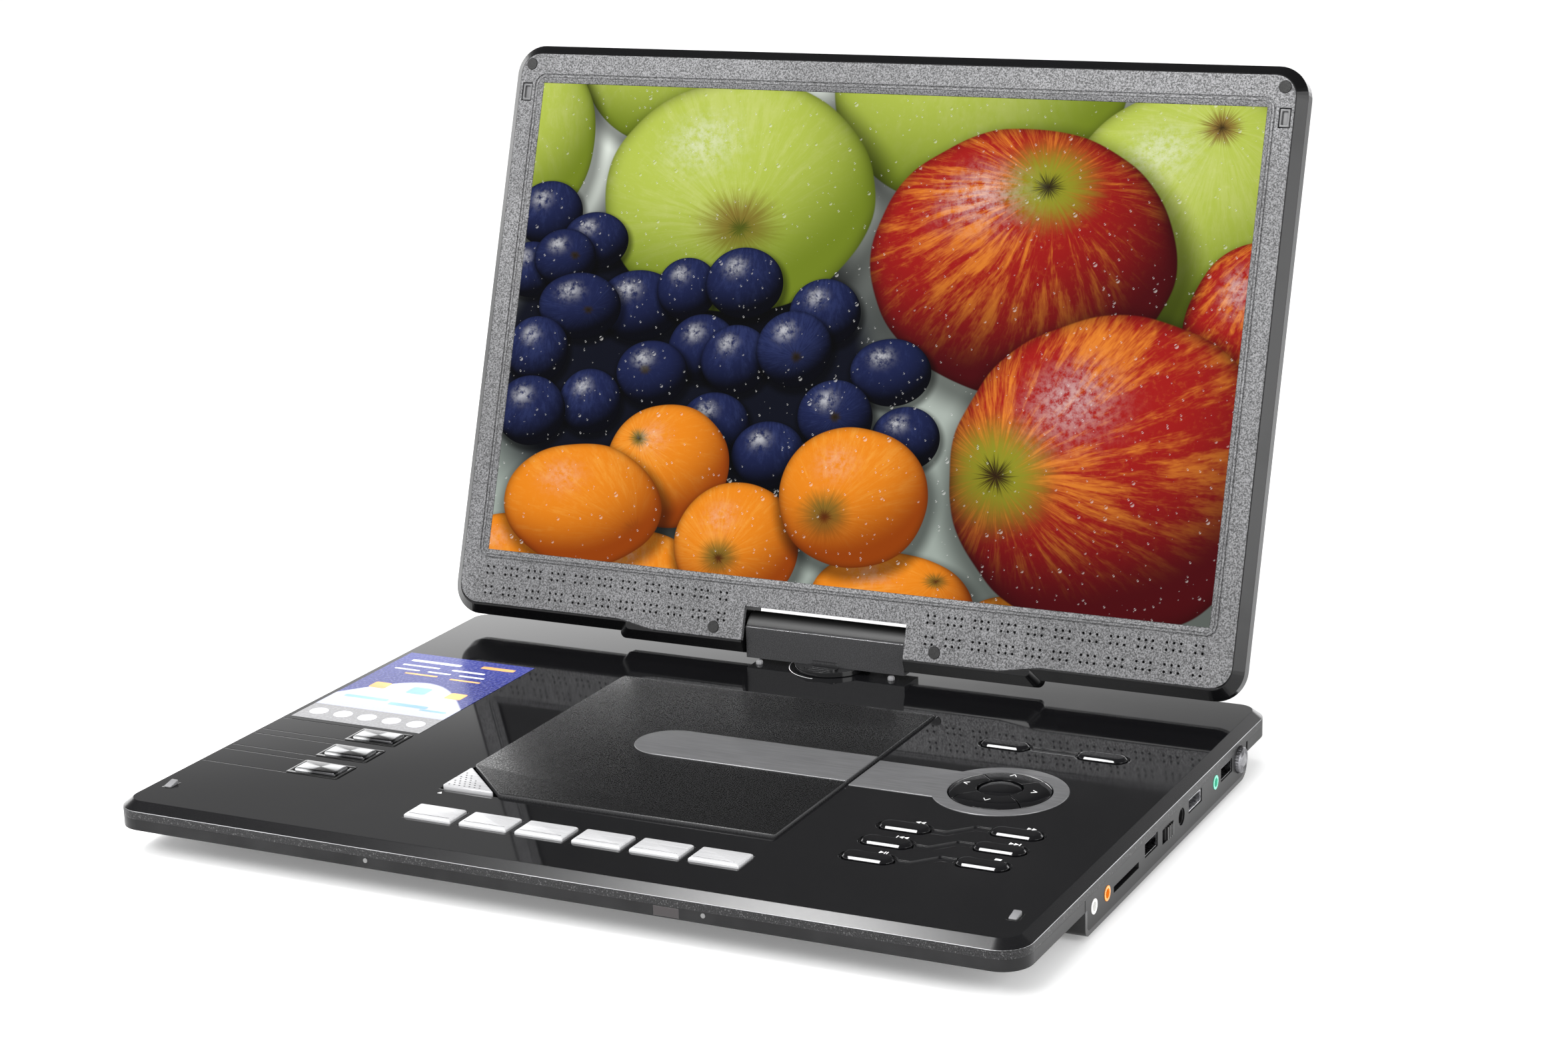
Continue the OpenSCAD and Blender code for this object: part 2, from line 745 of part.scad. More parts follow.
// The triangular button sits in the bay's front left corner
module open_button() {
    x0 = bay_x - door_w / 2 + key_gap;
    y0 = door_front_y + key_gap;
    w = corner_w - 2.2;
    d = corner_d - 2.2;
    color([0.85, 0.86, 0.87]) at_top() {
        translate([0, 0, -3.4]) linear_extrude(3.4 + door_up) polygon([[x0, y0], [x0 + w, y0], [x0, y0 + d]]);
        translate([x0 + 5, y0 + 5, -bay_floor_z + button_travel + fit_gap]) cylinder(r = 2, h = bay_floor_z - 4);
    }
}

// ---- keys ----

// A bevelled cap with a flange that holds it under the deck's top face
module bevelled_key(w, d, bevel, flange) {
    hull() {
        block(w, d, -flange_top - eps, key_up - bevel);
        block(w - 2 * bevel, d - 2 * bevel, 0, key_up);
    }
    block(w + 2 * flange, d + 2 * flange, -flange_top - flange_t, -flange_top);
}

module front_key(i) {
    color([0.86, 0.87, 0.88]) at_top() translate(front_keys[i])
        bevelled_key(front_key_w, front_key_d, 0.7, flange_w);
}

module side_key(i) {
    color([0.7, 0.71, 0.73]) at_top() translate(side_keys[i])
        bevelled_key(side_key_w, side_key_d, 0.5, flange_w + 0.5);
}

module oval_key(i) {
    color([0.05, 0.05, 0.055]) at_top() translate(oval_keys[i]) {
        hull() for (x = [-1, 1]) translate([x * (oval_key_w - oval_key_d) / 2, 0, 0]) {
            translate([0, 0, -flange_top - eps]) cylinder(d = oval_key_d, h = flange_top + 0.3, $fn = 40);
            translate([0, 0, 0.3]) cylinder(d1 = oval_key_d, d2 = oval_key_d - 1.4, h = 0.5, $fn = 40);
            translate([0, 0, 0.8]) cylinder(d1 = oval_key_d - 1.4, d2 = oval_key_d - 4, h = 0.35, $fn = 40);
        }
        block(oval_key_w + 1.6, oval_key_d, -flange_top - flange_t, -flange_top);
    }
}

module four_way_pad() {
    color([0.05, 0.05, 0.055]) at_top() translate([pad_x, pad_y, 0]) difference() {
        union() {
            translate([0, 0, -flange_top - flange_t]) cylinder(r = pad_r + flange_w, h = flange_t, $fn = 96);
            translate([0, 0, -flange_top - eps]) cylinder(r = pad_r, h = flange_top + 0.8, $fn = 96);
            translate([0, 0, 0.79]) cylinder(r1 = pad_r, r2 = pad_r - 2.6, h = 0.9, $fn = 96);
        }
        translate([0, 0, -flange_top - flange_t - eps]) cylinder(r = ok_r + key_gap, h = 9, $fn = 96);
        translate([0, 0, -flange_top - flange_t - 2]) cylinder(r = ok_r + 1.6, h = 3.9, $fn = 96);
        for (a = [0:3]) rotate([0, 0, 45 + 90 * a]) translate([ok_r, -0.2, 1]) cube([pad_r, 0.4, 2]);
    }
}

module ok_key() {
    color([0.08, 0.08, 0.085]) at_top() translate([pad_x, pad_y, 0]) {
        translate([0, 0, -flange_top - flange_t]) cylinder(r = ok_r + 1, h = flange_t, $fn = 96);
        translate([0, 0, -flange_top - eps]) cylinder(r = ok_r, h = flange_top + 1.4, $fn = 96);
        translate([0, 0, 1.38]) cylinder(r1 = ok_r, r2 = ok_r - 2.4, h = 0.8, $fn = 96);
    }
}

// ---- electronics ----

// The board under the keys: three strips round the disc bay, with a dome under each key
module key_board() {
    z = -key_board_z - key_board_t;
    x0 = side_key_x - 16;
    x1 = oval_x1 + 14;
    y0 = front_key_y - front_key_d;
    bay_x0 = bay_x - bay_w / 2 - bay_wall - 5;
    bay_x1 = bay_x + bay_w / 2 + collar_t + 2;
    front_y1 = bay_y - bay_d / 2 - collar_t - 2;
    color([0.1, 0.35, 0.2]) at_top() {
        translate([x0, y0, z]) cube([bay_x0 - x0, side_key_y + 12 - y0, key_board_t]);
        translate([x0, y0, z]) cube([x1 - x0, front_y1 - y0, key_board_t]);
        translate([bay_x1, y0, z]) cube([x1 - bay_x1, top_oval_y + 8 - y0, key_board_t]);
        for (k = concat(front_keys, side_keys, oval_keys)) translate([k[0], k[1], z + key_board_t - eps])
            cylinder(r = 2.4, h = dome_h);
        for (a = [0:3]) translate([pad_x, pad_y, z + key_board_t - eps]) rotate([0, 0, 90 * a])
            translate([pad_r - 4, 0, 0]) cylinder(r = 2, h = dome_h);
        translate([pad_x, pad_y, z + key_board_t - eps]) cylinder(r = 2.4, h = dome_h);
    }
}

module main_board() {
    x0 = bay_x + bay_w / 2 + 6;
    chips = [[22, -40, 18, 18, 1.6], [24, 2, 22, 22, 2.2], [30, 40, 14, 20, 1.4], [52, 20, 10, 16, 2.6]];
    color([0.12, 0.4, 0.25]) at_top() difference() {
        union() {
            translate([x0, white_y - 4, -board_z - board_t])
                cube([wall_x - 1 - x0, dial_y - white_y + 4, board_t]);
            for (c = chips) translate([x0 + c[0], c[1], 0]) block(c[2], c[3], -board_z - eps, c[4] - board_z);
            for (y = [-55, -20, 62]) translate([x0 + 10, y, -board_z - eps]) cylinder(r = 3, h = 4.6);
            translate([wall_x - 3.5, dial_y - 1.5, 0]) block(3, 5, -board_z - board_t, -dial_z + 2.8);
        }
        translate([0, dial_y, -dial_z]) rod_x(1.5 + fit_gap, wall_x - 6, wall_x);
        at_tub_screws() translate([0, 0, -tub_z]) cylinder(r = post_r + 0.4, h = tub_z);
    }
}

module battery_pack() {
    color([0.18, 0.2, 0.5]) at_top() translate([-half_w + 55, (tub_y0 + tub_y1) / 2, 0])
        for (y = [-1, 0, 1]) translate([0, y * 46, 0])
            rblock(72, 44, 4, -tub_z + cover_t + 0.4, -skirt_z - 0.4);
}

// A folded metal socket with its contact tongue, mouth on the right wall
module socket_shell(w, h, z) {
    sheet = 0.4;
    translate([half_w - 0.4 - socket_l, 0, -z]) {
        difference() {
            translate([0, -w / 2, -h / 2]) cube([socket_l, w, h]);
            translate([1, -w / 2 + sheet, -h / 2 + sheet]) cube([socket_l, w - 2 * sheet, h - 2 * sheet]);
        }
        translate([0, -w / 2 + 1.4, 0.1]) cube([socket_l - 2, w - 2.8, 1.5]);
        translate([0, -w / 2 + 1, -board_z + z])
            cube([socket_l - wall - 2, w - 2, board_z - z - h / 2 + eps]);
    }
}

module metal_sockets() {
    color([0.72, 0.72, 0.74]) at_top() {
        for (y = data_ys) translate([0, y, 0]) socket_shell(data_w - 0.4, data_h - 0.4, data_z);
        translate([0, display_y, 0]) socket_shell(display_w - 0.4, display_h - 0.4, display_z);
    }
}

module card_reader() {
    color([0.6, 0.6, 0.62]) at_top() translate([0, card_y, -card_z]) difference() {
        translate([wall_x - 26, -card_w / 2 - 0.6, -board_z + card_z])
            cube([25.5, card_w + 1.2, board_z - card_z + 2]);
        translate([wall_x - 25, -card_w / 2, -card_h / 2]) cube([26, card_w, card_h]);
    }
}

// A round socket: its bore faces right, and its block stands on the main board
module round_jack(y, z, bore_r) {
    at_top() translate([0, y, -z]) difference() {
        union() {
            rod_x(jack_r - 0.1, wall_x - 1, half_w + 0.2);
            translate([wall_x - 11, -3.6, -board_z + z]) cube([10.6, 7.2, board_z - z + 3.4]);
        }
        rod_x(bore_r, wall_x - 9, half_w + 1);
    }
}

module white_jack() {
    color([0.85, 0.85, 0.84]) round_jack(white_y, jack_z, jack_bore_r);
}

module orange_jack() {
    color([0.95, 0.55, 0.1]) round_jack(orange_y, jack_z, jack_bore_r);
}

module green_jack() {
    color([0.3, 0.75, 0.6]) round_jack(green_y, green_z, jack_bore_r);
}

module power_inlet() {
    color([0.06, 0.06, 0.06]) at_top() translate([0, inlet_y, -inlet_z]) {
        difference() {
            union() {
                rod_x(inlet_bore_r + 0.5, wall_x - 1, half_w - 0.6);
                translate([wall_x - 11, -4.5, -board_z + inlet_z]) cube([10.6, 9, board_z - inlet_z + 4]);
            }
            rod_x(inlet_bore_r, wall_x - 9.5, half_w + 1);
        }
        rod_x(0.8, wall_x - 10, wall_x - 0.5);
    }
}

module power_slider() {
    rest = slider_travel / 2;
    color([0.1, 0.1, 0.1]) at_top() translate([0, slider_y + rest, -slider_z]) {
        translate([wall_x - 1.4, -slider_w / 2 - 1.5, -slider_h / 2 - 0.5])
            cube([1, slider_w + 3, slider_h + 1]);
        translate([wall_x - 0.5, -slider_w / 2, -slider_h / 2 + 0.3])
            cube([wall + 0.1, slider_w, slider_h - 0.6]);
        for (i = [0:3]) translate([half_w - 0.5, -slider_w / 2 + 0.5 + i * 1.9, -slider_h / 2 + 0.3])
            cube([1.1, 0.9, slider_h - 0.6]);
    }
}

module volume_dial() {
    color([0.4, 0.4, 0.41]) at_top() translate([0, dial_y, -dial_z]) {
        rod_x(1.5, wall_x - 5, wall_x);
        rod_x(dial_r, wall_x - 0.6, half_w + dial_out - 0.8);
        translate([half_w + dial_out - 0.8, 0, 0]) rotate([0, 90, 0])
            cylinder(r1 = dial_r, r2 = dial_r - 0.8, h = 0.8);
        rod_x(dial_r - 2, half_w, half_w + dial_out + 0.5);
    }
}

module remote_window() {
    color([0.1, 0.02, 0.03]) at_top() translate([remote_x, -half_d, -window_z])
        translate([-remote_w / 2, 0, -remote_h / 2]) cube([remote_w, wall + 1, remote_h]);
}

module light_pipes() {
    color([0.8, 0.85, 0.85]) at_top() for (x = lamp_xs) translate([x, -half_d, -lamp_z])
        rod_y(lamp_r, -0.2, wall + 2);
}

// ---- swivel hinge ----

module turntable() {
    color([0.09, 0.09, 0.095]) at_top() translate([0, tilt_y, 0]) difference() {
        union() {
            translate([0, 0, turn_gap]) cylinder(r = disc_r, h = turn_t, $fn = 96);
            translate([0, 0, -2 * plate_t - 1.4]) cylinder(r = shaft_r, h = 2 * plate_t + 2);
            translate([0, 0, -2 * plate_t - 1.4]) cylinder(r = turn_flange_r, h = 1.1);
            translate([0, -block_front - 3.4, turn_gap]) linear_extrude(turn_t + 0.8) stadium(15, 6);
        }
        translate([0, 0, -2 * plate_t - 2]) cylinder(r = shaft_r - 3, h = 3 * plate_t + 2);
        translate([-3.6, -block_front - 5.4, turn_gap + turn_t + 0.3]) cube([7.2, 0.9, 1]);
    }
}

// Front cover of the hinge: an upright face, and a slope back to the barrel
module hinge_block() {
    z0 = turn_gap + turn_t - tilt_up;
    color([0.2, 0.2, 0.21]) translate([0, tilt_y, tilt_z]) difference() {
        union() {
            across(2 * block_half) polygon([
                [-block_front, z0], [-block_front, 2.6], [-2.4, 6.3], [0, 6.3],
                [barrel_r - 1, 0], [barrel_r - 1, z0]
            ]);
        }
        rod_x(barrel_r, -block_half - 1, block_half + 1);
        translate([0, -block_front - 3.4, z0 - eps]) linear_extrude(2) stadium(16.4, 7.4);
    }
}

module hinge_barrel() {
    color([0.04, 0.04, 0.045]) translate([0, tilt_y, tilt_z]) difference() {
        rod_x(barrel_r, -block_half, block_half);
        for (x = [-1, 1]) scale([x, 1, 1]) rod_x(pin_r, block_half - 20, block_half + 1);
    }
}

module tilt_pins() {
    color([0.7, 0.7, 0.72]) translate([0, tilt_y, tilt_z])
        for (x = [-1, 1]) scale([x, 1, 1]) rod_x(pin_r, block_half - 20, notch_half + ear_w - 1.5);
}

// ---- screen lid, all in the lid's own frame ----

// Plan of the lid, drawn smaller by the given inset. The middle of its lower edge drops.
module lid_plan(inset, low, tongue, r) {
    half = lid_half - inset;
    translate([0, (lid_top - inset + low) / 2]) rrect(2 * half, lid_top - inset - low, r);
    polygon([
        [-tongue_half0, low + 1], [-tongue_half0, low], [-tongue_half1, tongue],
        [tongue_half1, tongue], [tongue_half0, low], [tongue_half0, low + 1]
    ]);
}

module bezel_plan(grow) {
    lid_plan(lid_bevel - grow, bezel_low - grow, bezel_tongue - grow, bezel_r + grow);
}

module notch_plan(grow) {
    translate([-notch_half - grow, tongue_low - 5])
        square([2 * (notch_half + grow), notch_top + grow - tongue_low + 5]);
}

// One rounded layer of the shell: its sides move in by inset, and it lies at a depth from the face
module shell_layer(deep, inset, low0, half, high, r) {
    translate([0, face_y + deep, (high + low0) / 2]) rotate([90, 0, 0])
        translate([0, 0, -0.05]) linear_extrude(0.1)
            rrect(2 * (half - inset), high - low0 - 2 * inset, max(r - inset, 2), $fn = 48);
}

shell_layers = [[0.25, lid_bevel - 0.2], [lip_deep, 0], [side_deep, 0], [side_deep + 3, 1.2],
                [lid_t - 1.5, 3.6], [lid_t - 0.05, 8]];

module shell_body() {
    hull() for (s = shell_layers) shell_layer(s[0], s[1], lid_low, lid_half, lid_top, lid_r);
    hull() for (s = shell_layers) shell_layer(s[0], s[1], tongue_low, tongue_half0, 60, 3);
}

// A pocket in the back shell, open to the front, with its floor at a depth from the back
module shell_pocket(floor_t, inset) {
    lid_slab(face_y - 1, back_y - floor_t) translate([0, (lid_top + lid_low) / 2])
        rrect(2 * (lid_half - inset), lid_top - lid_low - 2 * inset, 6);
}

module lid_shell() {
    depth = lid_t - bezel_t - 1;
    color([0.04, 0.04, 0.045]) at_lid() difference() {
        union() {
            difference() {
                shell_body();
                lid_slab(face_y - 1, face_y + bezel_t) bezel_plan(0.15);
                shell_pocket(5, lid_bevel + 1);
                shell_pocket(wall, 11);
            }
            for (x = [-1, 1]) translate([x * (notch_half + ear_w / 2), 0, 0])
                translate([-ear_w / 2, face_y + bezel_t, lid_low + 1])
                    cube([ear_w, depth, notch_top - lid_low]);
            translate([-notch_half - ear_w, face_y + bezel_t, notch_top])
                cube([2 * (notch_half + ear_w), depth, 2]);
        }
        lid_slab(face_y - 2, back_y + 2) notch_plan(0);
        rod_x(pin_r + fit_gap, -notch_half - ear_w + 1, notch_half + ear_w - 1);
    }
}

module hole_group(n) {
    for (c = [0:n - 1], r = [0, 1]) translate([(c - (n - 1) / 2) * hole_pitch, -r * hole_pitch])
        rotate(22.5) circle(d = grille_hole, $fn = 8);
}

// Two rows of eleven groups on each side of the hinge
module grille_holes() {
    for (s = [-1, 1], z = grille_rows) {
        for (i = [0:8]) translate([s * (grille_x + 10.6 + i * group_pitch), z]) hole_group(3);
        for (x = [grille_x, grille_x + 21.2 + 8 * group_pitch]) translate([s * x, z]) hole_group(2);
    }
}

module catch_slot() {
    square([catch_w + 2, catch_l + 3], center = true);
}

// A rectangle larger than the picture by the given margin on every side
module picture_rect(grow) {
    translate([0, picture_z + picture_h / 2])
        square([picture_w + 2 * grow, picture_h + 2 * grow], center = true);
}

module window_ring(grow, w, r) {
    difference() {
        rrect(picture_w + 2 * (grow + w), picture_h + 2 * (grow + w), r + w);
        rrect(picture_w + 2 * grow, picture_h + 2 * grow, r);
    }
}

module bezel() {
    mid = picture_z + picture_h / 2;
    color([0.55, 0.55, 0.56]) at_lid() difference() {
        lid_slab(face_y, face_y + bezel_t) difference() {
            bezel_plan(0);
            notch_plan(0);
            picture_rect(0.3);
            grille_holes();
            for (x = [-1, 1]) translate([x * catch_x, catch_z]) catch_slot();
            for (p = pads) translate(p) circle(1.2);
        }
        lid_slab(face_y + glass_deep, face_y + bezel_t + eps) picture_rect(panel_rim + 0.3);
        lid_slab(face_y - eps, face_y + 0.5) translate([0, mid]) window_ring(3.6, 0.7, 4.5);
        lid_slab(face_y - eps, face_y + 0.3) translate([0, mid]) window_ring(2.4, 0.4, 3.4);
        for (p = pads) translate([p[0], face_y - eps, p[1]]) rod_y(pad_hole_r, 0, 0.8);
        hull() {
            lid_slab(face_y - eps, face_y) picture_rect(2.2);
            lid_slab(face_y + glass_deep - 0.2, face_y + glass_deep) picture_rect(0.3);
        }
    }
}

module lcd_panel() {
    y0 = face_y + glass_deep;
    color([0.12, 0.16, 0.14]) at_lid() lid_slab(y0, y0 + glass_t) picture_rect(panel_rim);
}

module lcd_frame() {
    y0 = face_y + glass_deep + glass_t;
    color([0.7, 0.7, 0.72]) at_lid() {
        lid_slab(y0, y0 + frame_t) picture_rect(panel_rim);
        lid_slab(y0 + frame_t, y0 + frame_t + 1) translate([0, picture_z + picture_h / 2])
            square([picture_w * 0.7, 40], center = true);
    }
}

module speakers() {
    color([0.08, 0.08, 0.08]) at_lid() for (x = [-1, 1]) translate([x * speaker_x, 0, 0]) {
        lid_slab(face_y + bezel_t + 0.3, face_y + bezel_t + 7) translate([0, speaker_z]) stadium(60, 13);
        lid_slab(face_y + bezel_t + 7, face_y + bezel_t + 9) translate([0, speaker_z]) stadium(34, 9);
    }
}

module screw_pads() {
    color([0.06, 0.06, 0.06]) at_lid() for (p = pads) translate([p[0], face_y, p[1]]) {
        rod_y(pad_hole_r - 0.15, -0.35, 0.75);
    }
}

// ---- the nodes ----

top_deck();
bottom_case();
base_cover();
feet();
case_screws();
ring_trim();
feature_label();
rubber_bumpers();
disc_well();
drive_motors();
guide_rods();
main_board();
key_board();
metal_sockets();
card_reader();
power_inlet();
white_jack();
orange_jack();
green_jack();
battery_pack();
remote_window();
light_pipes();
four_way_pad();
ok_key();
side_key(2);  // power_key
side_key(1);  // screen_key
side_key(0);  // auto_key
front_key(0);  // front_key_1
front_key(1);  // front_key_2
front_key(2);  // front_key_3
front_key(3);  // front_key_4
front_key(4);  // front_key_5
front_key(5);  // front_key_6
oval_key(0);  // setup_key
oval_key(1);  // source_key
oval_key(2);  // rewind_key
oval_key(3);  // forward_key
oval_key(4);  // previous_key
oval_key(5);  // next_key
oval_key(6);  // play_key
oval_key(7);  // stop_key
disc_door();
door_band();
open_button();
spindle_hub();
pickup_sled();
pickup_lens();
lead_screw();
power_slider();
volume_dial();
turntable();
hinge_block();
hinge_barrel();
tilt_pins();
bezel();
lid_shell();
lcd_panel();
lcd_frame();
speakers();
screw_pads();
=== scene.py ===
"""Portable disc player, shown open: finishes, fine detail, stage and camera."""

import json
import math

import bmesh
import bpy
from bpy.props import FloatProperty, FloatVectorProperty, IntProperty, PointerProperty
from mathutils import Matrix, Vector


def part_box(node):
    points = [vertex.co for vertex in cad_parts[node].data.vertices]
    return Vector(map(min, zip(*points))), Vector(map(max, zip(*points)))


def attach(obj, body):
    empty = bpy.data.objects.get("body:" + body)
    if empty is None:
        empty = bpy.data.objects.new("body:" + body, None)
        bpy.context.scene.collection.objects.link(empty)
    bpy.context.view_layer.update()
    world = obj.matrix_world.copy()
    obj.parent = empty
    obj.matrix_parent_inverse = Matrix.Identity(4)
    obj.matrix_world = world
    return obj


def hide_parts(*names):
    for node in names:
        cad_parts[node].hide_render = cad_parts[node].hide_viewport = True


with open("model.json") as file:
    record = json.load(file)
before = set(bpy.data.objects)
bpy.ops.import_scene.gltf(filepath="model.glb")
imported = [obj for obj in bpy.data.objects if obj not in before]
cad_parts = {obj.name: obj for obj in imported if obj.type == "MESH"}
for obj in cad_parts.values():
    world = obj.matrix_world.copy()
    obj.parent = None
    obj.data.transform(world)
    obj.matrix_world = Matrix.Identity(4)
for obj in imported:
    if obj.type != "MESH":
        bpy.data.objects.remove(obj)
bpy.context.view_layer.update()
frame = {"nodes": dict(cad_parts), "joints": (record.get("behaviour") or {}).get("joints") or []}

bl_info = {
    "name": "Portable disc player",
    "version": (1, 0, 0),
    "blender": (4, 5, 0),
    "location": "3D View > Sidebar > Player",
    "description": "Builds the finishes and the fine pieces of a portable disc player",
    "category": "Object",
}

MM = 0.001
NODES = frame["nodes"]
JOINTS = {j["name"]: j for j in frame["joints"]}
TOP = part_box("top_deck")[1].z
TILT = Vector(JOINTS["screen_tilt"]["pos_m"])
TURN = Vector(JOINTS["swivel_turn"]["pos_m"])
LEAN = math.radians(19)
FRONT_KEYS = ["front_key_%d" % i for i in range(1, 7)]
SIDE_KEYS = ["auto_key", "screen_key", "power_key"]
OVAL_KEYS = [
    "setup_key", "source_key", "rewind_key", "forward_key",
    "previous_key", "next_key", "play_key", "stop_key",
]
FLANGE = 1.0 * MM  # lip that keeps a key in its opening
BEVEL = 3.0 * MM  # height of the deck's sloped edge
DECK_CORNER = 11 * MM
CATCH_W, CATCH_D = 3.0 * MM, 5.2 * MM
STOP_X, STOP_R = 30.5 * MM, 1.5 * MM
DOOR_W = 141 * MM
DOOR_CUT_X, DOOR_CUT_Y = 25.5 * MM, 24.5 * MM
DISPLAY_SOCKET_Y = 41.4 * MM
ARC_R = 18.2 * MM
SUNK = 0.05 * MM  # how far a raised detail reaches into what carries it


# ---- sizes and colours ----


class PLAYER_PG_sizes(bpy.types.PropertyGroup):
    """Sizes of the small pieces that are added to the frame."""

    key_bevel: FloatProperty(
        name="Key bevel", description="Width of the soft edge on the silver keys",
        default=0.5 * MM, min=0.1 * MM, max=1 * MM, unit="LENGTH")
    edge_line: FloatProperty(
        name="Edge line", description="Radius of the bright line round the deck",
        default=0.16 * MM, min=0.05 * MM, max=0.5 * MM, unit="LENGTH")
    print_up: FloatProperty(
        name="Print height", description="How far printed marks stand proud",
        default=0.03 * MM, min=0.01 * MM, max=0.1 * MM, unit="LENGTH")
    picture_w: FloatProperty(
        name="Picture width", description="Width of the lit picture",
        default=331.2 * MM, min=0.1, max=0.5, unit="LENGTH")
    picture_h: FloatProperty(
        name="Picture height", description="Height of the lit picture",
        default=207 * MM, min=0.1, max=0.4, unit="LENGTH")
    picture_z: FloatProperty(
        name="Picture start", description="Picture's lower edge above the tilt axis, along the lid",
        default=21.2 * MM, min=0, max=0.05, unit="LENGTH")
    smooth_angle: FloatProperty(
        name="Smooth angle", description="Edges sharper than this stay crisp",
        default=math.radians(24), min=0, max=math.pi, subtype="ANGLE")
    dots: IntProperty(
        name="Dots", description="Dots along the open button's longest row",
        default=8, min=2, max=16)


class PLAYER_PG_colours(bpy.types.PropertyGroup):
    """Colours of the finishes."""

    deck: FloatVectorProperty(
        name="Deck", description="Gloss black of the deck",
        subtype="COLOR", default=(0.004, 0.004, 0.0045))
    charcoal: FloatVectorProperty(
        name="Charcoal", description="Speckled paint of the deck's bevel",
        subtype="COLOR", default=(0.01, 0.01, 0.0105))
    case: FloatVectorProperty(
        name="Case", description="Satin grey of the lower case",
        subtype="COLOR", default=(0.009, 0.009, 0.0095))
    bezel: FloatVectorProperty(
        name="Bezel", description="Speckled silver of the bezel",
        subtype="COLOR", default=(0.07, 0.07, 0.072))
    band: FloatVectorProperty(
        name="Band", description="Satin silver of the ring and band",
        subtype="COLOR", default=(0.19, 0.19, 0.195))
    silver: FloatVectorProperty(
        name="Silver", description="Brushed metal of the front keys",
        subtype="COLOR", default=(0.6, 0.6, 0.61))
    picture_light: FloatProperty(
        name="Picture light", description="Brightness of the lit picture", default=1.0, min=0, max=5)


class PLAYER_PG_studio(bpy.types.PropertyGroup):
    """Camera and lights."""

    azimuth: FloatProperty(
        name="Azimuth", description="Camera angle round the player",
        default=math.radians(26.65), subtype="ANGLE")
    height: FloatProperty(
        name="Elevation", description="Camera angle above the table",
        default=math.radians(15.21), subtype="ANGLE")
    roll: FloatProperty(
        name="Roll", description="Camera roll", default=math.radians(-1.757), subtype="ANGLE")
    distance: FloatProperty(
        name="Distance", description="Camera distance", default=1.2141, unit="LENGTH")
    side: FloatProperty(name="Side", description="Camera move to its right", default=0.03283, unit="LENGTH")
    rise: FloatProperty(name="Rise", description="Camera move up", default=0.10934, unit="LENGTH")
    lens: FloatProperty(name="Lens", description="Focal length in millimetres", default=71.35)


def sizes():
    return bpy.context.scene.player_sizes


def colours():
    return bpy.context.scene.player_colours


def studio():
    return bpy.context.scene.player_studio


# ---- node materials ----


class Look:
    """One node material, built up a node at a time."""

    def __init__(self, name, **sockets):
        self.mat = bpy.data.materials.new(name)
        self.mat.use_nodes = True
        self.tree = self.mat.node_tree
        self.tree.nodes.clear()
        self.out = self.tree.nodes.new("ShaderNodeOutputMaterial")
        self.bsdf = self.tree.nodes.new("ShaderNodeBsdfPrincipled")
        self.tree.links.new(self.bsdf.outputs[0], self.out.inputs["Surface"])
        self.set(self.bsdf, sockets)
        self.mat.diffuse_color = (0.3, 0.3, 0.3, 1)

    def set(self, node, sockets):
        for key, value in sockets.items():
            socket = node.inputs[key]
            if isinstance(value, bpy.types.NodeSocket):
                self.tree.links.new(value, socket)
            elif socket.type == "RGBA":
                socket.default_value = (*value[:3], 1)
            else:
                socket.default_value = value
        return node

    def node(self, kind, attrs=None, **sockets):
        made = self.tree.nodes.new("ShaderNode" + kind)
        for key, value in (attrs or {}).items():
            setattr(made, key, value)
        return self.set(made, sockets)

    def math(self, operation, *values, clamp=False):
        made = self.tree.nodes.new("ShaderNodeMath")
        made.operation = operation
        made.use_clamp = clamp
        self.set(made, dict(enumerate(values)))
        return made.outputs[0]

    def vector(self, operation, *values):
        made = self.tree.nodes.new("ShaderNodeVectorMath")
        made.operation = operation
        self.set(made, dict(enumerate(values)))
        return made.outputs["Value" if operation in ("DOT_PRODUCT", "LENGTH", "DISTANCE") else "Vector"]

    def scaled(self, value, factor):
        made = self.tree.nodes.new("ShaderNodeVectorMath")
        made.operation = "SCALE"
        self.set(made, {0: value, "Scale": factor})
        return made.outputs["Vector"]

    def grey(self, value):
        return self.node("CombineColor", Red=value, Green=value, Blue=value).outputs[0]

    def band(self, value, low, high, to_low=0.0, to_high=1.0):
        made = self.tree.nodes.new("ShaderNodeMapRange")
        made.interpolation_type = "SMOOTHSTEP"
        self.set(made, {0: value, 1: low, 2: high, 3: to_low, 4: to_high})
        return made.outputs[0]

    def mix(self, factor, a, b, blend="MIX"):
        made = self.tree.nodes.new("ShaderNodeMix")
        made.data_type = "RGBA"
        made.blend_type = blend
        made.clamp_factor = True
        self.set(made, {0: factor, 6: a, 7: b})
        return made.outputs[2]

    def place(self):
        return self.node("TexCoord").outputs["Object"]

    def axes(self, socket=None):
        made = self.node("SeparateXYZ", Vector=socket or self.place())
        return made.outputs[0], made.outputs[1], made.outputs[2]

    def noise(self, scale, detail=2.0, rough=0.5, vector=None, stretch=None):
        where = vector or self.place()
        if stretch:
            where = self.vector("MULTIPLY", where, stretch)
        return self.node("TexNoise", Vector=where, Scale=scale, Detail=detail, Roughness=rough).outputs[0]

    def bump(self, height, strength, distance, before=None):
        made = self.node("Bump", Height=height, Strength=strength, Distance=distance)
        if before is not None:
            self.tree.links.new(before, made.inputs["Normal"])
        return made.outputs[0]

    def soft_edge(self, radius):
        return self.node("Bevel", {"samples": 4}, Radius=radius).outputs[0]

    def use(self, **sockets):
        self.set(self.bsdf, {key.replace("_", " "): value for key, value in sockets.items()})
        return self.mat


def shade(colour, share, lift=0.0):
    """A colour made lighter or darker."""
    return [min(1, c * share + lift) for c in colour]


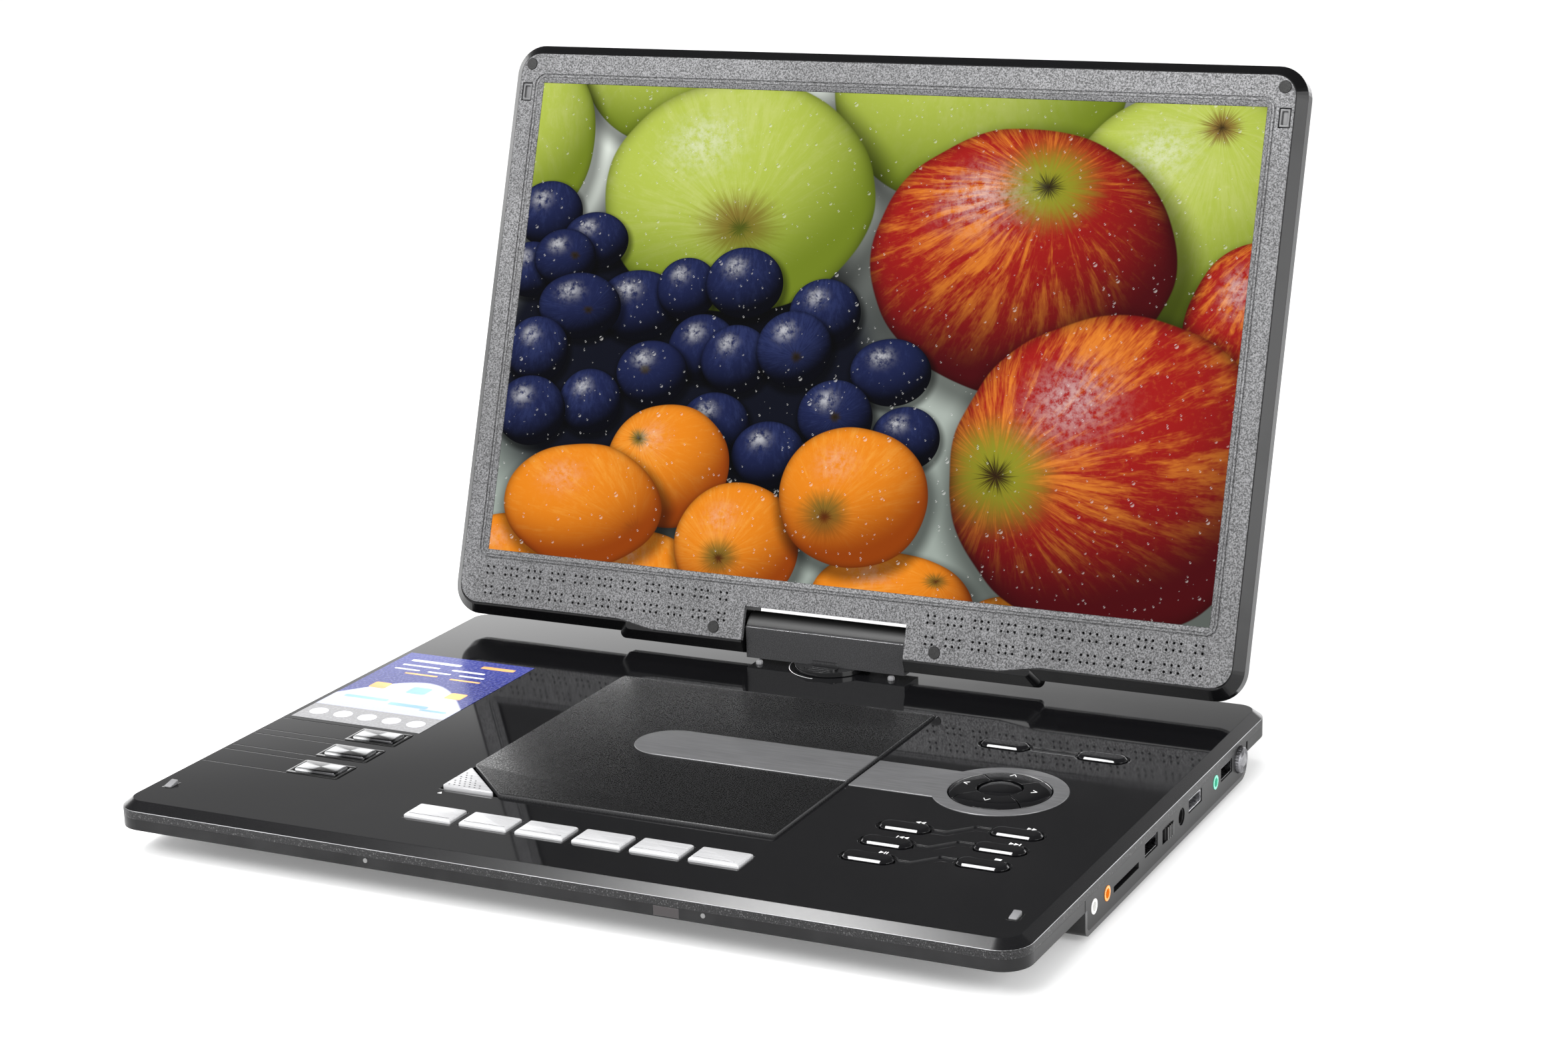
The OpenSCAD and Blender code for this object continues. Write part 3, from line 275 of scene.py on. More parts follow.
def moulded(name, colour, rough=0.4, grain=0.06, grain_scale=2600, edge=0.25 * MM, **extra):
    """A moulded plastic: fine spark-eroded grain, faint tone drift and softly worn edges."""
    look = Look(name, **{"Base Color": colour, "Roughness": rough})
    drift = look.noise(35, 3)
    tone = look.mix(look.band(drift, 0.3, 0.7), shade(colour, 0.8), shade(colour, 1.25, 0.004))
    fine = look.noise(grain_scale, 2)
    normal = look.bump(fine, grain, 0.05 * MM, look.soft_edge(edge))
    shine = look.math("ADD", rough - 0.05, look.math("MULTIPLY", drift, 0.1))
    return look.use(Base_Color=tone, Roughness=shine, Normal=normal, **extra)


def gloss(name, colour, rough=0.06, edge=0.25 * MM, **extra):
    """A polished moulding: faint smears change its shine, with a trace of orange peel."""
    look = Look(name, **{"Base Color": colour})
    smear = look.noise(22, 5, 0.65)
    dust = look.noise(4200, 1)
    specks = look.band(dust, 0.76, 0.82)
    tone = look.mix(look.math("MULTIPLY", specks, 0.12), colour, (0.2, 0.2, 0.2))
    shine = look.math("ADD", rough, look.math("MULTIPLY", look.band(smear, 0.5, 0.75), 0.07))
    peel = look.bump(look.noise(160, 2), 0.02, 0.2 * MM, look.soft_edge(edge))
    return look.use(Base_Color=tone, Roughness=shine, Normal=peel, **extra)


def speckled(name, colour, amount=0.5, rough=0.42, metal=0.35, scale=2600, edge=0.3 * MM, shine_level=0.5):
    """Silver flake paint: tiny light and dark flakes, and a slight drift of tone."""
    look = Look(name, Metallic=metal)
    flake = look.noise(scale, 2, 0.7)
    coarse = look.noise(scale * 0.42, 1)
    light = shade(colour, 1 + 1.6 * amount)
    dark = shade(colour, 1 - 0.6 * amount)
    tone = look.mix(look.band(flake, 0.36, 0.66), dark, light)
    tone = look.mix(look.band(coarse, 0.62, 0.7, 0, 0.35), tone, shade(colour, 2.2))
    drift = look.band(look.noise(14, 2), 0.3, 0.7, 0.88, 1.12)
    tone = look.mix(1.0, tone, look.grey(drift), "MULTIPLY")
    normal = look.bump(flake, 0.12, 0.05 * MM, look.soft_edge(edge))
    shine = look.band(flake, 0.3, 0.7, rough + 0.08, rough - 0.08)
    return look.use(Base_Color=tone, Roughness=shine, Normal=normal, Specular_IOR_Level=shine_level)


def metal(name, colour, rough=0.28, stretch=(1, 60, 60), scale=40, strength=0.12, edge=0.15 * MM, share=1.0):
    """Brushed or turned metal: fine lines along one way."""
    look = Look(name, Metallic=share)
    lines = look.noise(scale, 4, 0.6, stretch=stretch)
    tone = look.mix(look.band(lines, 0.3, 0.7), shade(colour, 0.78), colour)
    shine = look.band(lines, 0.25, 0.75, rough + 0.08, rough - 0.06)
    normal = look.bump(lines, strength, 0.04 * MM, look.soft_edge(edge))
    return look.use(Base_Color=tone, Roughness=shine, Normal=normal)


def rubber(name, colour=(0.012, 0.012, 0.012)):
    """Dull rubber with open pores."""
    look = Look(name)
    pores = look.noise(1900, 3)
    tone = look.mix(look.band(look.noise(60, 3), 0.3, 0.7), colour, shade(colour, 1.8))
    return look.use(Base_Color=tone, Roughness=look.band(pores, 0.3, 0.7, 0.62, 0.8),
                    Normal=look.bump(pores, 0.2, 0.06 * MM))


def paint(obj, mat):
    obj.data.materials.clear()
    obj.data.materials.append(mat)
    return obj


def paint_node(node, mat):
    return paint(NODES[node], mat)


# ---- mesh tools ----


def rounded(w, d, r, steps=6):
    """Corner points of a rounded rectangle round the origin, anticlockwise."""
    points = []
    for sx, sy, start in ((1, 1, 0), (-1, 1, 90), (-1, -1, 180), (1, -1, 270)):
        for i in range(steps + 1):
            a = math.radians(start + 90 * i / steps)
            points.append((sx * (w / 2 - r) + r * math.cos(a), sy * (d / 2 - r) + r * math.sin(a)))
    return points


def circle(r, count, x=0.0, y=0.0):
    turns = [2 * math.pi * i / count for i in range(count)]
    return [(x + r * math.cos(a), y + r * math.sin(a)) for a in turns]


def finish_mesh(name, bm, mat, body, smooth=True):
    """Turns a worked mesh into a painted piece that rides on a body."""
    bmesh.ops.recalc_face_normals(bm, faces=bm.faces)
    data = bpy.data.meshes.new(name)
    bm.to_mesh(data)
    bm.free()
    obj = bpy.data.objects.new(name, data)
    bpy.context.scene.collection.objects.link(obj)
    if smooth:
        for face in data.polygons:
            face.use_smooth = True
        data.set_sharp_from_angle(angle=math.radians(35))
    paint(obj, mat)
    if body:
        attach(obj, body)
    return obj


def add_loft(bm, rings):
    """Joins closed rings of equal length with faces, and closes both ends."""
    made = [[bm.verts.new(p) for p in ring] for ring in rings]
    count = len(made[0])
    for low, high in zip(made, made[1:]):
        for i in range(count):
            j = (i + 1) % count
            bm.faces.new((low[i], low[j], high[j], high[i]))
    bm.faces.new(list(reversed(made[0])))
    bm.faces.new(made[-1])


def add_prism(bm, outline, z0, z1):
    """A flat outline raised from one height to another."""
    add_loft(bm, [[Vector((x, y, z)) for x, y in outline] for z in (z0, z1)])


def add_turned(bm, profile, centre, count=96, axis="Z"):
    """Turns a list of (radius, height) pairs round an upright or sideways axis."""
    rings = []
    for r, h in profile:
        ring = []
        for i in range(count):
            a = 2 * math.pi * i / count
            c, s = max(r, 1e-6) * math.cos(a), max(r, 1e-6) * math.sin(a)
            ring.append(centre + (Vector((c, s, h)) if axis == "Z" else Vector((h, c, s))))
        rings.append(ring)
    add_loft(bm, rings)


def add_bar(bm, start, end, r, count=12):
    """A round bar between two points, drawn in a little at its ends."""
    along = (end - start).normalized()
    side = along.orthogonal().normalized()
    up = along.cross(side)
    turns = [2 * math.pi * i / count for i in range(count)]
    taper = along * r * 0.45
    rings = []
    for point, share in ((start, 0.55), (start + taper, 1), (end - taper, 1), (end, 0.55)):
        rings.append([point + (side * math.cos(a) + up * math.sin(a)) * r * share for a in turns])
    add_loft(bm, rings)


def stacked(name, outline_at, levels, centre, mat, body):
    """Lofts one outline through levels of (inset, height)."""
    bm = bmesh.new()
    rings = []
    for inset, height in levels:
        rings.append([Vector((x + centre.x, y + centre.y, height)) for x, y in outline_at(inset)])
    add_loft(bm, rings)
    return finish_mesh(name, bm, mat, body)


def plate(name, loops, z0, z1, bevel, mat, body, place=None):
    """A flat piece from closed outlines, inner ones being holes, with a rounded edge."""
    curve = bpy.data.curves.new(name, "CURVE")
    curve.dimensions = "2D"
    curve.fill_mode = "BOTH"
    curve.extrude = max((z1 - z0) / 2 - bevel, 1e-6)
    curve.bevel_depth = bevel
    curve.offset = -bevel
    curve.bevel_resolution = 2
    for loop in loops:
        spline = curve.splines.new("POLY")
        spline.points.add(len(loop) - 1)
        for point, (x, y) in zip(spline.points, loop):
            point.co = (x, y, 0, 1)
        spline.use_cyclic_u = True
    made = bpy.data.objects.new(name + "_outline", curve)
    bpy.context.scene.collection.objects.link(made)
    bpy.context.view_layer.update()
    data = bpy.data.meshes.new_from_object(made.evaluated_get(bpy.context.evaluated_depsgraph_get()))
    bpy.data.objects.remove(made)
    bpy.data.curves.remove(curve)
    bm = bmesh.new()
    bm.from_mesh(data)
    bpy.data.meshes.remove(data)
    bmesh.ops.remove_doubles(bm, verts=bm.verts, dist=1e-7)
    where = place or Matrix.Identity(4)
    bmesh.ops.transform(bm, matrix=where @ Matrix.Translation((0, 0, (z0 + z1) / 2)), verts=bm.verts)
    return finish_mesh(name, bm, mat, body)


def lid_place():
    """Maps (x along the lid, y up the lid, z out of its face) from the tilt axis."""
    up = Vector((0, math.sin(LEAN), math.cos(LEAN)))
    out = Vector((0, -math.cos(LEAN), math.sin(LEAN)))
    turn = Matrix((Vector((1, 0, 0)), up, out)).transposed().to_4x4()
    return Matrix.Translation(TILT) @ turn


def box_of(node):
    """A frame node's lowest corner, highest corner and middle."""
    low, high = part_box(node)
    return low, high, (low + high) / 2


def soften(node):
    """Rounds the shading of a frame node's many small flats, with its mesh left as it is."""
    group = bpy.data.node_groups.get("soft_shading")
    if group is None:
        group = bpy.data.node_groups.new("soft_shading", "GeometryNodeTree")
        group.interface.new_socket("Geometry", in_out="INPUT", socket_type="NodeSocketGeometry")
        group.interface.new_socket("Geometry", in_out="OUTPUT", socket_type="NodeSocketGeometry")
        make = group.nodes.new
        start = make("NodeGroupInput")
        end = make("NodeGroupOutput")
        merge = make("GeometryNodeMergeByDistance")
        merge.inputs["Distance"].default_value = 1e-6
        drop = make("GeometryNodeRemoveAttribute")
        drop.inputs["Name"].default_value = "custom_normal"
        angle = make("GeometryNodeInputMeshEdgeAngle")
        sharp = make("FunctionNodeCompare")
        sharp.inputs["B"].default_value = sizes().smooth_angle
        crisp = make("GeometryNodeSetShadeSmooth")
        crisp.domain = "EDGE"
        crisp.inputs["Shade Smooth"].default_value = False
        smooth = make("GeometryNodeSetShadeSmooth")
        link = group.links.new
        link(start.outputs[0], merge.inputs[0])
        link(merge.outputs[0], drop.inputs[0])
        link(drop.outputs[0], smooth.inputs[0])
        link(smooth.outputs[0], crisp.inputs[0])
        link(angle.outputs[0], sharp.inputs["A"])
        link(sharp.outputs[0], crisp.inputs["Selection"])
        link(crisp.outputs[0], end.inputs[0])
    modifier = NODES[node].modifiers.new("soft_shading", "NODES")
    modifier.node_group = group


# ---- finishes of this player ----


def deck_finish():
    """Piano black on the top and its bevel, speckled charcoal on the rim below them."""
    tint = colours()
    look = Look("deck_gloss")
    z = look.axes()[2]
    up = look.axes(look.node("NewGeometry").outputs["Normal"])[2]
    flat = look.band(up, 0.97, 0.995)
    high = look.band(z, TOP - 1.2 * MM, TOP - 1.0 * MM)
    top = look.math("MULTIPLY", flat, high)
    slope = look.band(z, TOP - BEVEL - 0.1 * MM, TOP - BEVEL + 0.1 * MM)
    flake = look.noise(2800, 2, 0.7)
    coarse = look.band(look.noise(1500, 1), 0.6, 0.7)
    rim = look.mix(look.band(flake, 0.4, 0.7), shade(tint.charcoal, 0.6), shade(tint.charcoal, 3.4))
    rim = look.mix(look.math("MULTIPLY", coarse, 0.3), rim, (0.2, 0.2, 0.2))
    bevel = look.mix(look.band(flake, 0.55, 0.75), tint.deck, shade(tint.charcoal, 1.2))
    rim = look.mix(slope, rim, bevel)
    dust = look.band(look.noise(5200, 1), 0.8, 0.86)
    black = look.mix(look.math("MULTIPLY", dust, 0.07), tint.deck, (0.18, 0.18, 0.18))
    smear = look.band(look.noise(9, 4, 0.6), 0.45, 0.75)
    shine = look.math("ADD", 0.045, look.math("MULTIPLY", smear, 0.05))
    rim_shine = look.mix(slope, (0.42, 0.42, 0.42), (0.2, 0.2, 0.2))
    rough = look.axes(look.mix(top, rim_shine, look.node("CombineColor", Red=shine).outputs[0]))[0]
    bumps = look.math("MULTIPLY", flake, look.math("SUBTRACT", 1.0, top))
    normal = look.bump(bumps, 0.08, 0.05 * MM, look.soft_edge(0.3 * MM))
    level = look.mix(slope, (0.16, 0.16, 0.16), (0.5, 0.5, 0.5))
    return look.use(Base_Color=look.mix(top, rim, black), Roughness=rough, Normal=normal,
                    Specular_IOR_Level=look.axes(level)[0])


def grained_finish():
    """Soft-touch black with a fine leather grain pressed into its top."""
    look = Look("door_grain")
    where = look.place()
    swirl = look.node("TexNoise", Vector=where, Scale=900.0).outputs[1]
    warp = look.vector("ADD", where, look.scaled(swirl, 0.7 * MM))
    cells = look.node("TexVoronoi", {"feature": "DISTANCE_TO_EDGE"}, Vector=warp, Scale=1050.0).outputs[0]
    pebbles = look.band(cells, 0.0, 0.22)
    wide = look.noise(240, 3)
    height = look.math("ADD", pebbles, look.math("MULTIPLY", wide, 0.8))
    up = look.band(look.axes(look.node("NewGeometry").outputs["Normal"])[2], 0.6, 0.95)
    tone = look.mix(pebbles, (0.003, 0.003, 0.003), (0.009, 0.009, 0.0095))
    tone = look.mix(up, (0.03, 0.03, 0.031), tone)
    relief = look.math("MULTIPLY", height, up)
    shine = look.band(pebbles, 0, 1, 0.34, 0.17)
    return look.use(Base_Color=tone, Roughness=shine, Specular_IOR_Level=0.35,
                    Normal=look.bump(relief, 0.3, 0.1 * MM, look.soft_edge(0.3 * MM)))


def wedge_reflection_finish(name, centre):
    """Spun metal with painted reflection: light and dark wedges round its middle, painted into its colour."""
    look = Look(name, Metallic=1.0)
    x, y = look.axes()[:2]
    dx = look.math("SUBTRACT", x, centre.x)
    dy = look.math("MULTIPLY", look.math("SUBTRACT", y, centre.y), 1.6)
    angle = look.math("ARCTAN2", dy, dx)
    wave = look.math("SINE", look.math("ADD", look.math("MULTIPLY", angle, 2.0), 0.7))
    reach = look.vector("LENGTH", look.node("CombineXYZ", X=dx, Y=dy).outputs[0])
    fine = look.math("SINE", look.math("MULTIPLY", reach, 26000.0))
    # Painted reflection: the colour swings from near black to bright in wedges round the middle, as spun
    # metal catches the light.
    tone = look.mix(look.band(wave, -0.55, 0.75), (0.05, 0.05, 0.052), (0.85, 0.86, 0.87))
    tone = look.mix(look.math("MULTIPLY", look.band(fine, -1, 1), 0.16), tone, (0.02, 0.02, 0.02))
    return look.use(Base_Color=tone, Roughness=look.band(wave, -1, 1, 0.22, 0.32),
                    Normal=look.bump(fine, 0.06, 0.03 * MM, look.soft_edge(0.2 * MM)))


def band_finish():
    """Satin silver with a faint brushed drift."""
    tint = colours().band
    look = Look("trim_satin", Metallic=0.55)
    lines = look.noise(60, 4, 0.6, stretch=(1, 14, 14))
    tone = look.mix(look.band(lines, 0.3, 0.7), shade(tint, 0.86), shade(tint, 1.1))
    rub = look.band(look.noise(30, 4), 0.55, 0.8)
    shine = look.math("ADD", 0.3, look.math("MULTIPLY", rub, 0.12))
    return look.use(Base_Color=tone, Roughness=shine, Normal=look.soft_edge(0.3 * MM))


def bezel_finish():
    """Silver flake paint, coarse and hardly shiny."""
    return speckled("bezel_flake", colours().bezel, 0.9, 0.5, 0.0, 1500, 0.3 * MM, 0.3)


def socket_finish():
    """Nickel-plated sheet, darker on the flat data sockets."""
    look = Look("socket_nickel", Metallic=1.0)
    y = look.axes()[1]
    near = look.math("ABSOLUTE", look.math("SUBTRACT", y, DISPLAY_SOCKET_Y))
    bright = look.band(near, 9 * MM, 8.5 * MM)
    wear = look.noise(700, 3)
    tone = look.mix(bright, (0.16, 0.16, 0.165), (0.72, 0.72, 0.74))
    tone = look.mix(look.band(wear, 0.5, 0.8, 0, 0.4), tone, (0.3, 0.3, 0.31))
    return look.use(Base_Color=tone, Roughness=look.band(wear, 0.3, 0.7, 0.2, 0.34),
                    Normal=look.soft_edge(0.12 * MM))


def board_finish():
    """Solder mask with faint tracks and pads."""
    look = Look("board_mask")
    where = look.place()
    tracks = look.node("TexBrick", {"offset": 0.5}, Vector=where, Scale=260.0,
                       Color1=(0.01, 0.12, 0.05), Color2=(0.012, 0.15, 0.06), Mortar=(0.03, 0.26, 0.11))
    tracks.inputs["Mortar Size"].default_value = 0.012
    pads = look.node("TexVoronoi", Vector=where, Scale=420.0).outputs[0]
    dots = look.band(pads, 0.2, 0.16)
    tone = look.mix(look.math("MULTIPLY", dots, 0.5), tracks.outputs[0], (0.6, 0.58, 0.45))
    return look.use(Base_Color=tone, Roughness=look.band(look.noise(90), 0.3, 0.7, 0.25, 0.4))


def label_finish():
    """Printed film: a deep blue panel, a pale panel and a grey strip, with soft print grain."""
    low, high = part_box("feature_label")
    look = Look("label_print")
    x, y = look.axes()[:2]
    u = look.math("DIVIDE", look.math("SUBTRACT", x, low.x), high.x - low.x)
    v = look.math("DIVIDE", look.math("SUBTRACT", y, low.y), high.y - low.y)
    wave = look.math("SINE", look.math("MULTIPLY", u, 3.2))
    edge = look.math("ADD", 0.36, look.math("MULTIPLY", wave, 0.26))
    blue = look.mix(look.band(v, 0.6, 1.0), (0.012, 0.018, 0.16), (0.02, 0.03, 0.22))
    pale = look.mix(look.band(v, 0.2, 0.6), (0.36, 0.38, 0.5), (0.5, 0.52, 0.62))
    above = look.band(look.math("SUBTRACT", v, edge), -0.01, 0.01)
    tone = look.mix(above, pale, blue)
    strip = look.band(v, 0.2, 0.19)
    tone = look.mix(strip, tone, (0.2, 0.2, 0.205))
    grain = look.noise(900, 3)
    tone = look.mix(look.band(grain, 0.4, 0.8, 0, 0.12), tone, (0.8, 0.8, 0.85))
    return look.use(Base_Color=tone, Roughness=look.band(grain, 0.3, 0.7, 0.16, 0.26))


def fruit_group():
    """A node group that paints one lit round fruit over what lies below it."""
    group = bpy.data.node_groups.get("round_fruit")
    if group:
        return group
    group = bpy.data.node_groups.new("round_fruit", "ShaderNodeTree")
    for kind, names in (
        ("Color", ("Below", "Skin", "Streak", "Shade", "Stem")),
        ("Vector", ("Place", "Centre", "Radius", "Pole", "Wave")),
        ("Float", ("Shine", "Streaks", "Wobble", "Dimple", "Patch", "Mottle")),
    ):
        for name in names:
            group.interface.new_socket(name, in_out="INPUT", socket_type="NodeSocket" + kind)
    group.interface.new_socket("Colour", in_out="OUTPUT", socket_type="NodeSocketColor")
    group.interface.new_socket("Next", in_out="OUTPUT", socket_type="NodeSocketVector")
    look = Look.__new__(Look)
    look.tree = group
    start = group.nodes.new("NodeGroupInput").outputs
    end = group.nodes.new("NodeGroupOutput")
    offset = look.vector("SUBTRACT", start["Place"], start["Centre"])
    shove = look.scaled(look.vector("SUBTRACT", start["Wave"], (0.5, 0.5, 0.5)), start["Wobble"])
    q = look.vector("DIVIDE", look.vector("ADD", offset, shove), start["Radius"])
    q = look.vector("MULTIPLY", q, (1, 1, 0))
    m = look.vector("DOT_PRODUCT", q, q)
    depth = look.math("SQRT", look.math("MAXIMUM", look.math("SUBTRACT", 1.0, m), 0.0))
    qx, qy = look.axes(q)[:2]
    n = look.node("CombineXYZ", X=qx, Y=qy, Z=depth).outputs[0]
    lit = look.band(look.vector("DOT_PRODUCT", n, (-0.35, 0.62, 0.7)), -0.1, 0.95)
    arm = look.vector("SUBTRACT", q, start["Pole"])
    ax, ay = look.axes(arm)[:2]
    reach = look.vector("LENGTH", arm)
    ray = look.math("ARCTAN2", ay, ax)
    spokes = look.node("CombineXYZ", X=look.math("MULTIPLY", ray, 5.0), Y=look.math("MULTIPLY", reach, 0.9),
                       Z=look.vector("LENGTH", start["Centre"])).outputs[0]
    streak = look.node("TexNoise", Vector=spokes, Scale=2.4, Detail=4.0, Roughness=0.75).outputs[0]
    mottle = start["Mottle"]
    mask = look.band(look.math("ADD", streak, look.math("MULTIPLY", start["Patch"], 0.7)), 0.78, 1.06)
    mask = look.math("MULTIPLY", mask, start["Streaks"])
    mask = look.math("ADD", mask, look.band(mottle, 0.5, 0.85, 0, 0.35), clamp=True)
    skin = look.mix(mask, start["Skin"], start["Streak"])
    ragged = look.math("ADD", reach, look.band(streak, 0.3, 0.7, -0.05, 0.05))
    hollow = look.math("DIVIDE", ragged, start["Dimple"])
    skin = look.mix(look.band(hollow, 2.0, 0.5), skin, start["Stem"])
    skin = look.mix(look.band(hollow, 0.55, 0.1), skin, (0.02, 0.012, 0.004))
    colour = look.mix(lit, start["Shade"], skin)
    colour = look.mix(1.0, colour, look.grey(look.band(depth, 0.0, 0.5, 0.45, 1.0)), "MULTIPLY")
    glint = look.vector("DOT_PRODUCT", n, (-0.3, 0.46, 0.835))
    glint = look.math("POWER", look.math("MAXIMUM", glint, 0.0), 34.0)
    glint = look.math("MULTIPLY", glint, look.math("MULTIPLY", look.band(mottle, 0.35, 0.6), start["Shine"]))
    colour = look.mix(glint, colour, (1, 1, 1))
    cast = look.vector("ADD", q, (-0.05, 0.1, 0))
    shadow = look.band(look.vector("DOT_PRODUCT", cast, cast), 0.95, 1.4, 0.3, 1.0)
    below = look.mix(1.0, start["Below"], look.grey(shadow), "MULTIPLY")
    result = look.mix(look.band(m, 1.0, 0.975), below, colour)
    look.tree.links.new(result, end.inputs[0])
    # The tiny term makes each fruit wait for the one below it, which keeps the shader small enough to run
    onward = look.vector("ADD", start["Place"], look.vector("MULTIPLY", result, (1e-9, 1e-9, 1e-9)))
    look.tree.links.new(onward, end.inputs[1])
    return group


# Skin, streak, shade and stem colours, then shine, streaks and wobble
MELON = ((0.5, 0.6, 0.09), (0.72, 0.76, 0.3), (0.17, 0.23, 0.015), (0.24, 0.14, 0.03), 0.35, 0.3, 0.02)
APPLE = ((0.4, 0.012, 0.01), (0.88, 0.27, 0.03), (0.07, 0.002, 0.004), (0.3, 0.3, 0.02), 0.35, 0.85, 0.03)
GRAPE = (
    (0.012, 0.018, 0.075), (0.035, 0.05, 0.16), (0.0008, 0.001, 0.004), (0.03, 0.02, 0.01), 0.5, 0.5, 0.01,
)
LOQUAT = ((0.88, 0.26, 0.012), (0.98, 0.42, 0.06), (0.3, 0.05, 0.002), (0.2, 0.14, 0.02), 0.15, 0.5, 0.02)
# Each fruit's kind, centre and radii, then its stem's place on it and size where the stem shows
FRUIT = (
    (MELON, 0.30, 1.06, 0.21, 0.18), (MELON, 1.00, 1.04, 0.32, 0.27),
    (MELON, -0.03, 0.88, 0.17, 0.2, 1, -1.6, 0.01), (MELON, 1.48, 0.8, 0.28, 0.24, 0.12, 0.68, 0.09),
    (MELON, 0.49, 0.78, 0.315, 0.245, 0.03, -0.26, 0.19), (APPLE, 1.63, 0.57, 0.15, 0.17, 0.3, 1.3, 0.1),
    (APPLE, 1.13, 0.68, 0.325, 0.265, 0.14, 0.56, 0.2),
    (GRAPE, 0.05, 0.72, 0.08, 0.07), (GRAPE, 0.17, 0.67, 0.08, 0.06),
    (GRAPE, 0.02, 0.6, 0.07, 0.06), (GRAPE, 0.1, 0.63, 0.075, 0.06, 0.3, 0.1, 0.1),
    (GRAPE, 0.29, 0.54, 0.1, 0.075), (GRAPE, 0.4, 0.58, 0.07, 0.065),
    (GRAPE, 0.15, 0.53, 0.1, 0.072, 0.2, -0.1, 0.08), (GRAPE, 0.72, 0.55, 0.08, 0.07),
    (GRAPE, 0.45, 0.46, 0.08, 0.07), (GRAPE, 0.06, 0.43, 0.075, 0.072),
    (GRAPE, 0.34, 0.4, 0.085, 0.07, -0.2, 0.1, 0.1), (GRAPE, 0.53, 0.6, 0.09, 0.075),
    (GRAPE, 0.88, 0.44, 0.09, 0.068), (GRAPE, 0.53, 0.44, 0.08, 0.072),
    (GRAPE, 0.66, 0.47, 0.085, 0.08, 0.1, -0.2, 0.1), (GRAPE, 0.2, 0.33, 0.075, 0.07),
    (GRAPE, 0.93, 0.31, 0.075, 0.065), (GRAPE, 0.5, 0.3, 0.08, 0.07),
    (GRAPE, 0.06, 0.3, 0.085, 0.075), (GRAPE, 0.77, 0.34, 0.085, 0.075, 0, 0, 0.1),
    (GRAPE, 0.63, 0.25, 0.085, 0.07), (LOQUAT, 0.4, 0.21, 0.145, 0.13, -0.5, 0.4, 0.1),
    (LOQUAT, 0.05, -0.02, 0.15, 0.1), (LOQUAT, 0.38, -0.03, 0.14, 0.1),
    (LOQUAT, 0.21, 0.11, 0.19, 0.13, 0.74, -0.35, 0.12), (LOQUAT, 0.58, 0.06, 0.145, 0.13, -0.25, -0.2, 0.2),
    (LOQUAT, 0.94, -0.02, 0.18, 0.1, 0.5, 0.5, 0.1), (LOQUAT, 0.83, 0.18, 0.165, 0.145, -0.35, -0.3, 0.22),
    (LOQUAT, 1.2, -0.08, 0.12, 0.1), (APPLE, 1.37, 0.27, 0.34, 0.315, -0.7, -0.06, 0.22),
)
HIDDEN_STEM = (0, 2, 0.01)


def picture_finish():
    """A lit still life of wet fruit, painted with nodes in the lid's own plane."""
    size = sizes()
    look = Look("lit_picture")
    where = look.vector("SUBTRACT", look.place(), tuple(TILT))
    along = look.vector("DOT_PRODUCT", where, (0, math.sin(LEAN), math.cos(LEAN)))
    x = look.axes(where)[0]
    u = look.math("DIVIDE", look.math("ADD", x, size.picture_w / 2), size.picture_h)
    v = look.math("DIVIDE", look.math("SUBTRACT", along, size.picture_z), size.picture_h)
    spot = look.node("CombineXYZ", X=u, Y=v).outputs[0]
    colour = look.mix(look.band(v, 0.2, 0.9), (0.35, 0.4, 0.36), (0.86, 0.92, 0.84))
    hollow = look.vector("MULTIPLY", look.vector("SUBTRACT", spot, (0.4, 0.42, 0)), (1, 1.4, 0))
    murk = look.band(look.vector("DOT_PRODUCT", hollow, hollow), 0.34, 0.16)
    colour = look.mix(murk, colour, (0.004, 0.005, 0.012))
    where = spot
    wave = look.node("TexNoise", Vector=spot, Scale=5.0, Detail=1.0).outputs[1]
    patch = look.noise(3.2, 2, vector=spot)
    mottle = look.noise(60, 5, 0.7, vector=spot)
    for kind, cx, cy, rx, ry, *stem in FRUIT:
        px, py, dimple = stem or HIDDEN_STEM
        made = look.tree.nodes.new("ShaderNodeGroup")
        made.node_tree = fruit_group()
        look.set(made, dict(zip(("Skin", "Streak", "Shade", "Stem", "Shine", "Streaks", "Wobble"), kind)))
        look.set(made, {"Below": colour, "Place": where, "Centre": (cx, cy, 0), "Radius": (rx, ry, 1),
                        "Pole": (px, py, 0), "Dimple": dimple, "Wave": wave, "Patch": patch,
                        "Mottle": mottle})
        colour, where = made.outputs
    for scale, big, seed in ((38.0, 0.2, 0.0), (80.0, 0.22, 3.0)):
        here = look.vector("ADD", spot, (seed, seed, 0))
        cell = look.node("TexVoronoi", Vector=here, Scale=scale)
        pick = look.axes(cell.outputs["Color"])[0]
        radius = look.math("MULTIPLY", look.band(pick, 0.25, 1.0), big)
        gap = look.math("SUBTRACT", radius, cell.outputs["Distance"])
        inside = look.band(gap, 0.0, 0.04)
        step = look.vector("SUBTRACT", here, cell.outputs["Position"])
        side = look.vector("DOT_PRODUCT", step, (-0.6 * scale, 0.8 * scale, 0))
        glow = look.math("MULTIPLY", look.band(side, -0.16, 0.16, 1.0, -0.5), inside)
        bright = look.math("MULTIPLY", look.math("MAXIMUM", glow, 0.0), 0.42)
        dark = look.math("MULTIPLY", look.math("MAXIMUM", look.math("MULTIPLY", glow, -1.0), 0.0), 0.7)
        colour = look.mix(bright, colour, (1, 0.98, 0.94), "SCREEN")
        colour = look.mix(dark, colour, (0, 0, 0))
        spark = look.math("MULTIPLY", look.band(side, 0.1, 0.16), inside)
        colour = look.mix(look.math("MULTIPLY", spark, 0.75), colour, (1, 1, 1))
    look.set(look.bsdf, {"Base Color": (0.002, 0.002, 0.002), "Roughness": 0.3, "Specular IOR Level": 0.0,
                         "Emission Color": colour, "Emission Strength": colours().picture_light})
    return look.mat


# ---- pieces ----


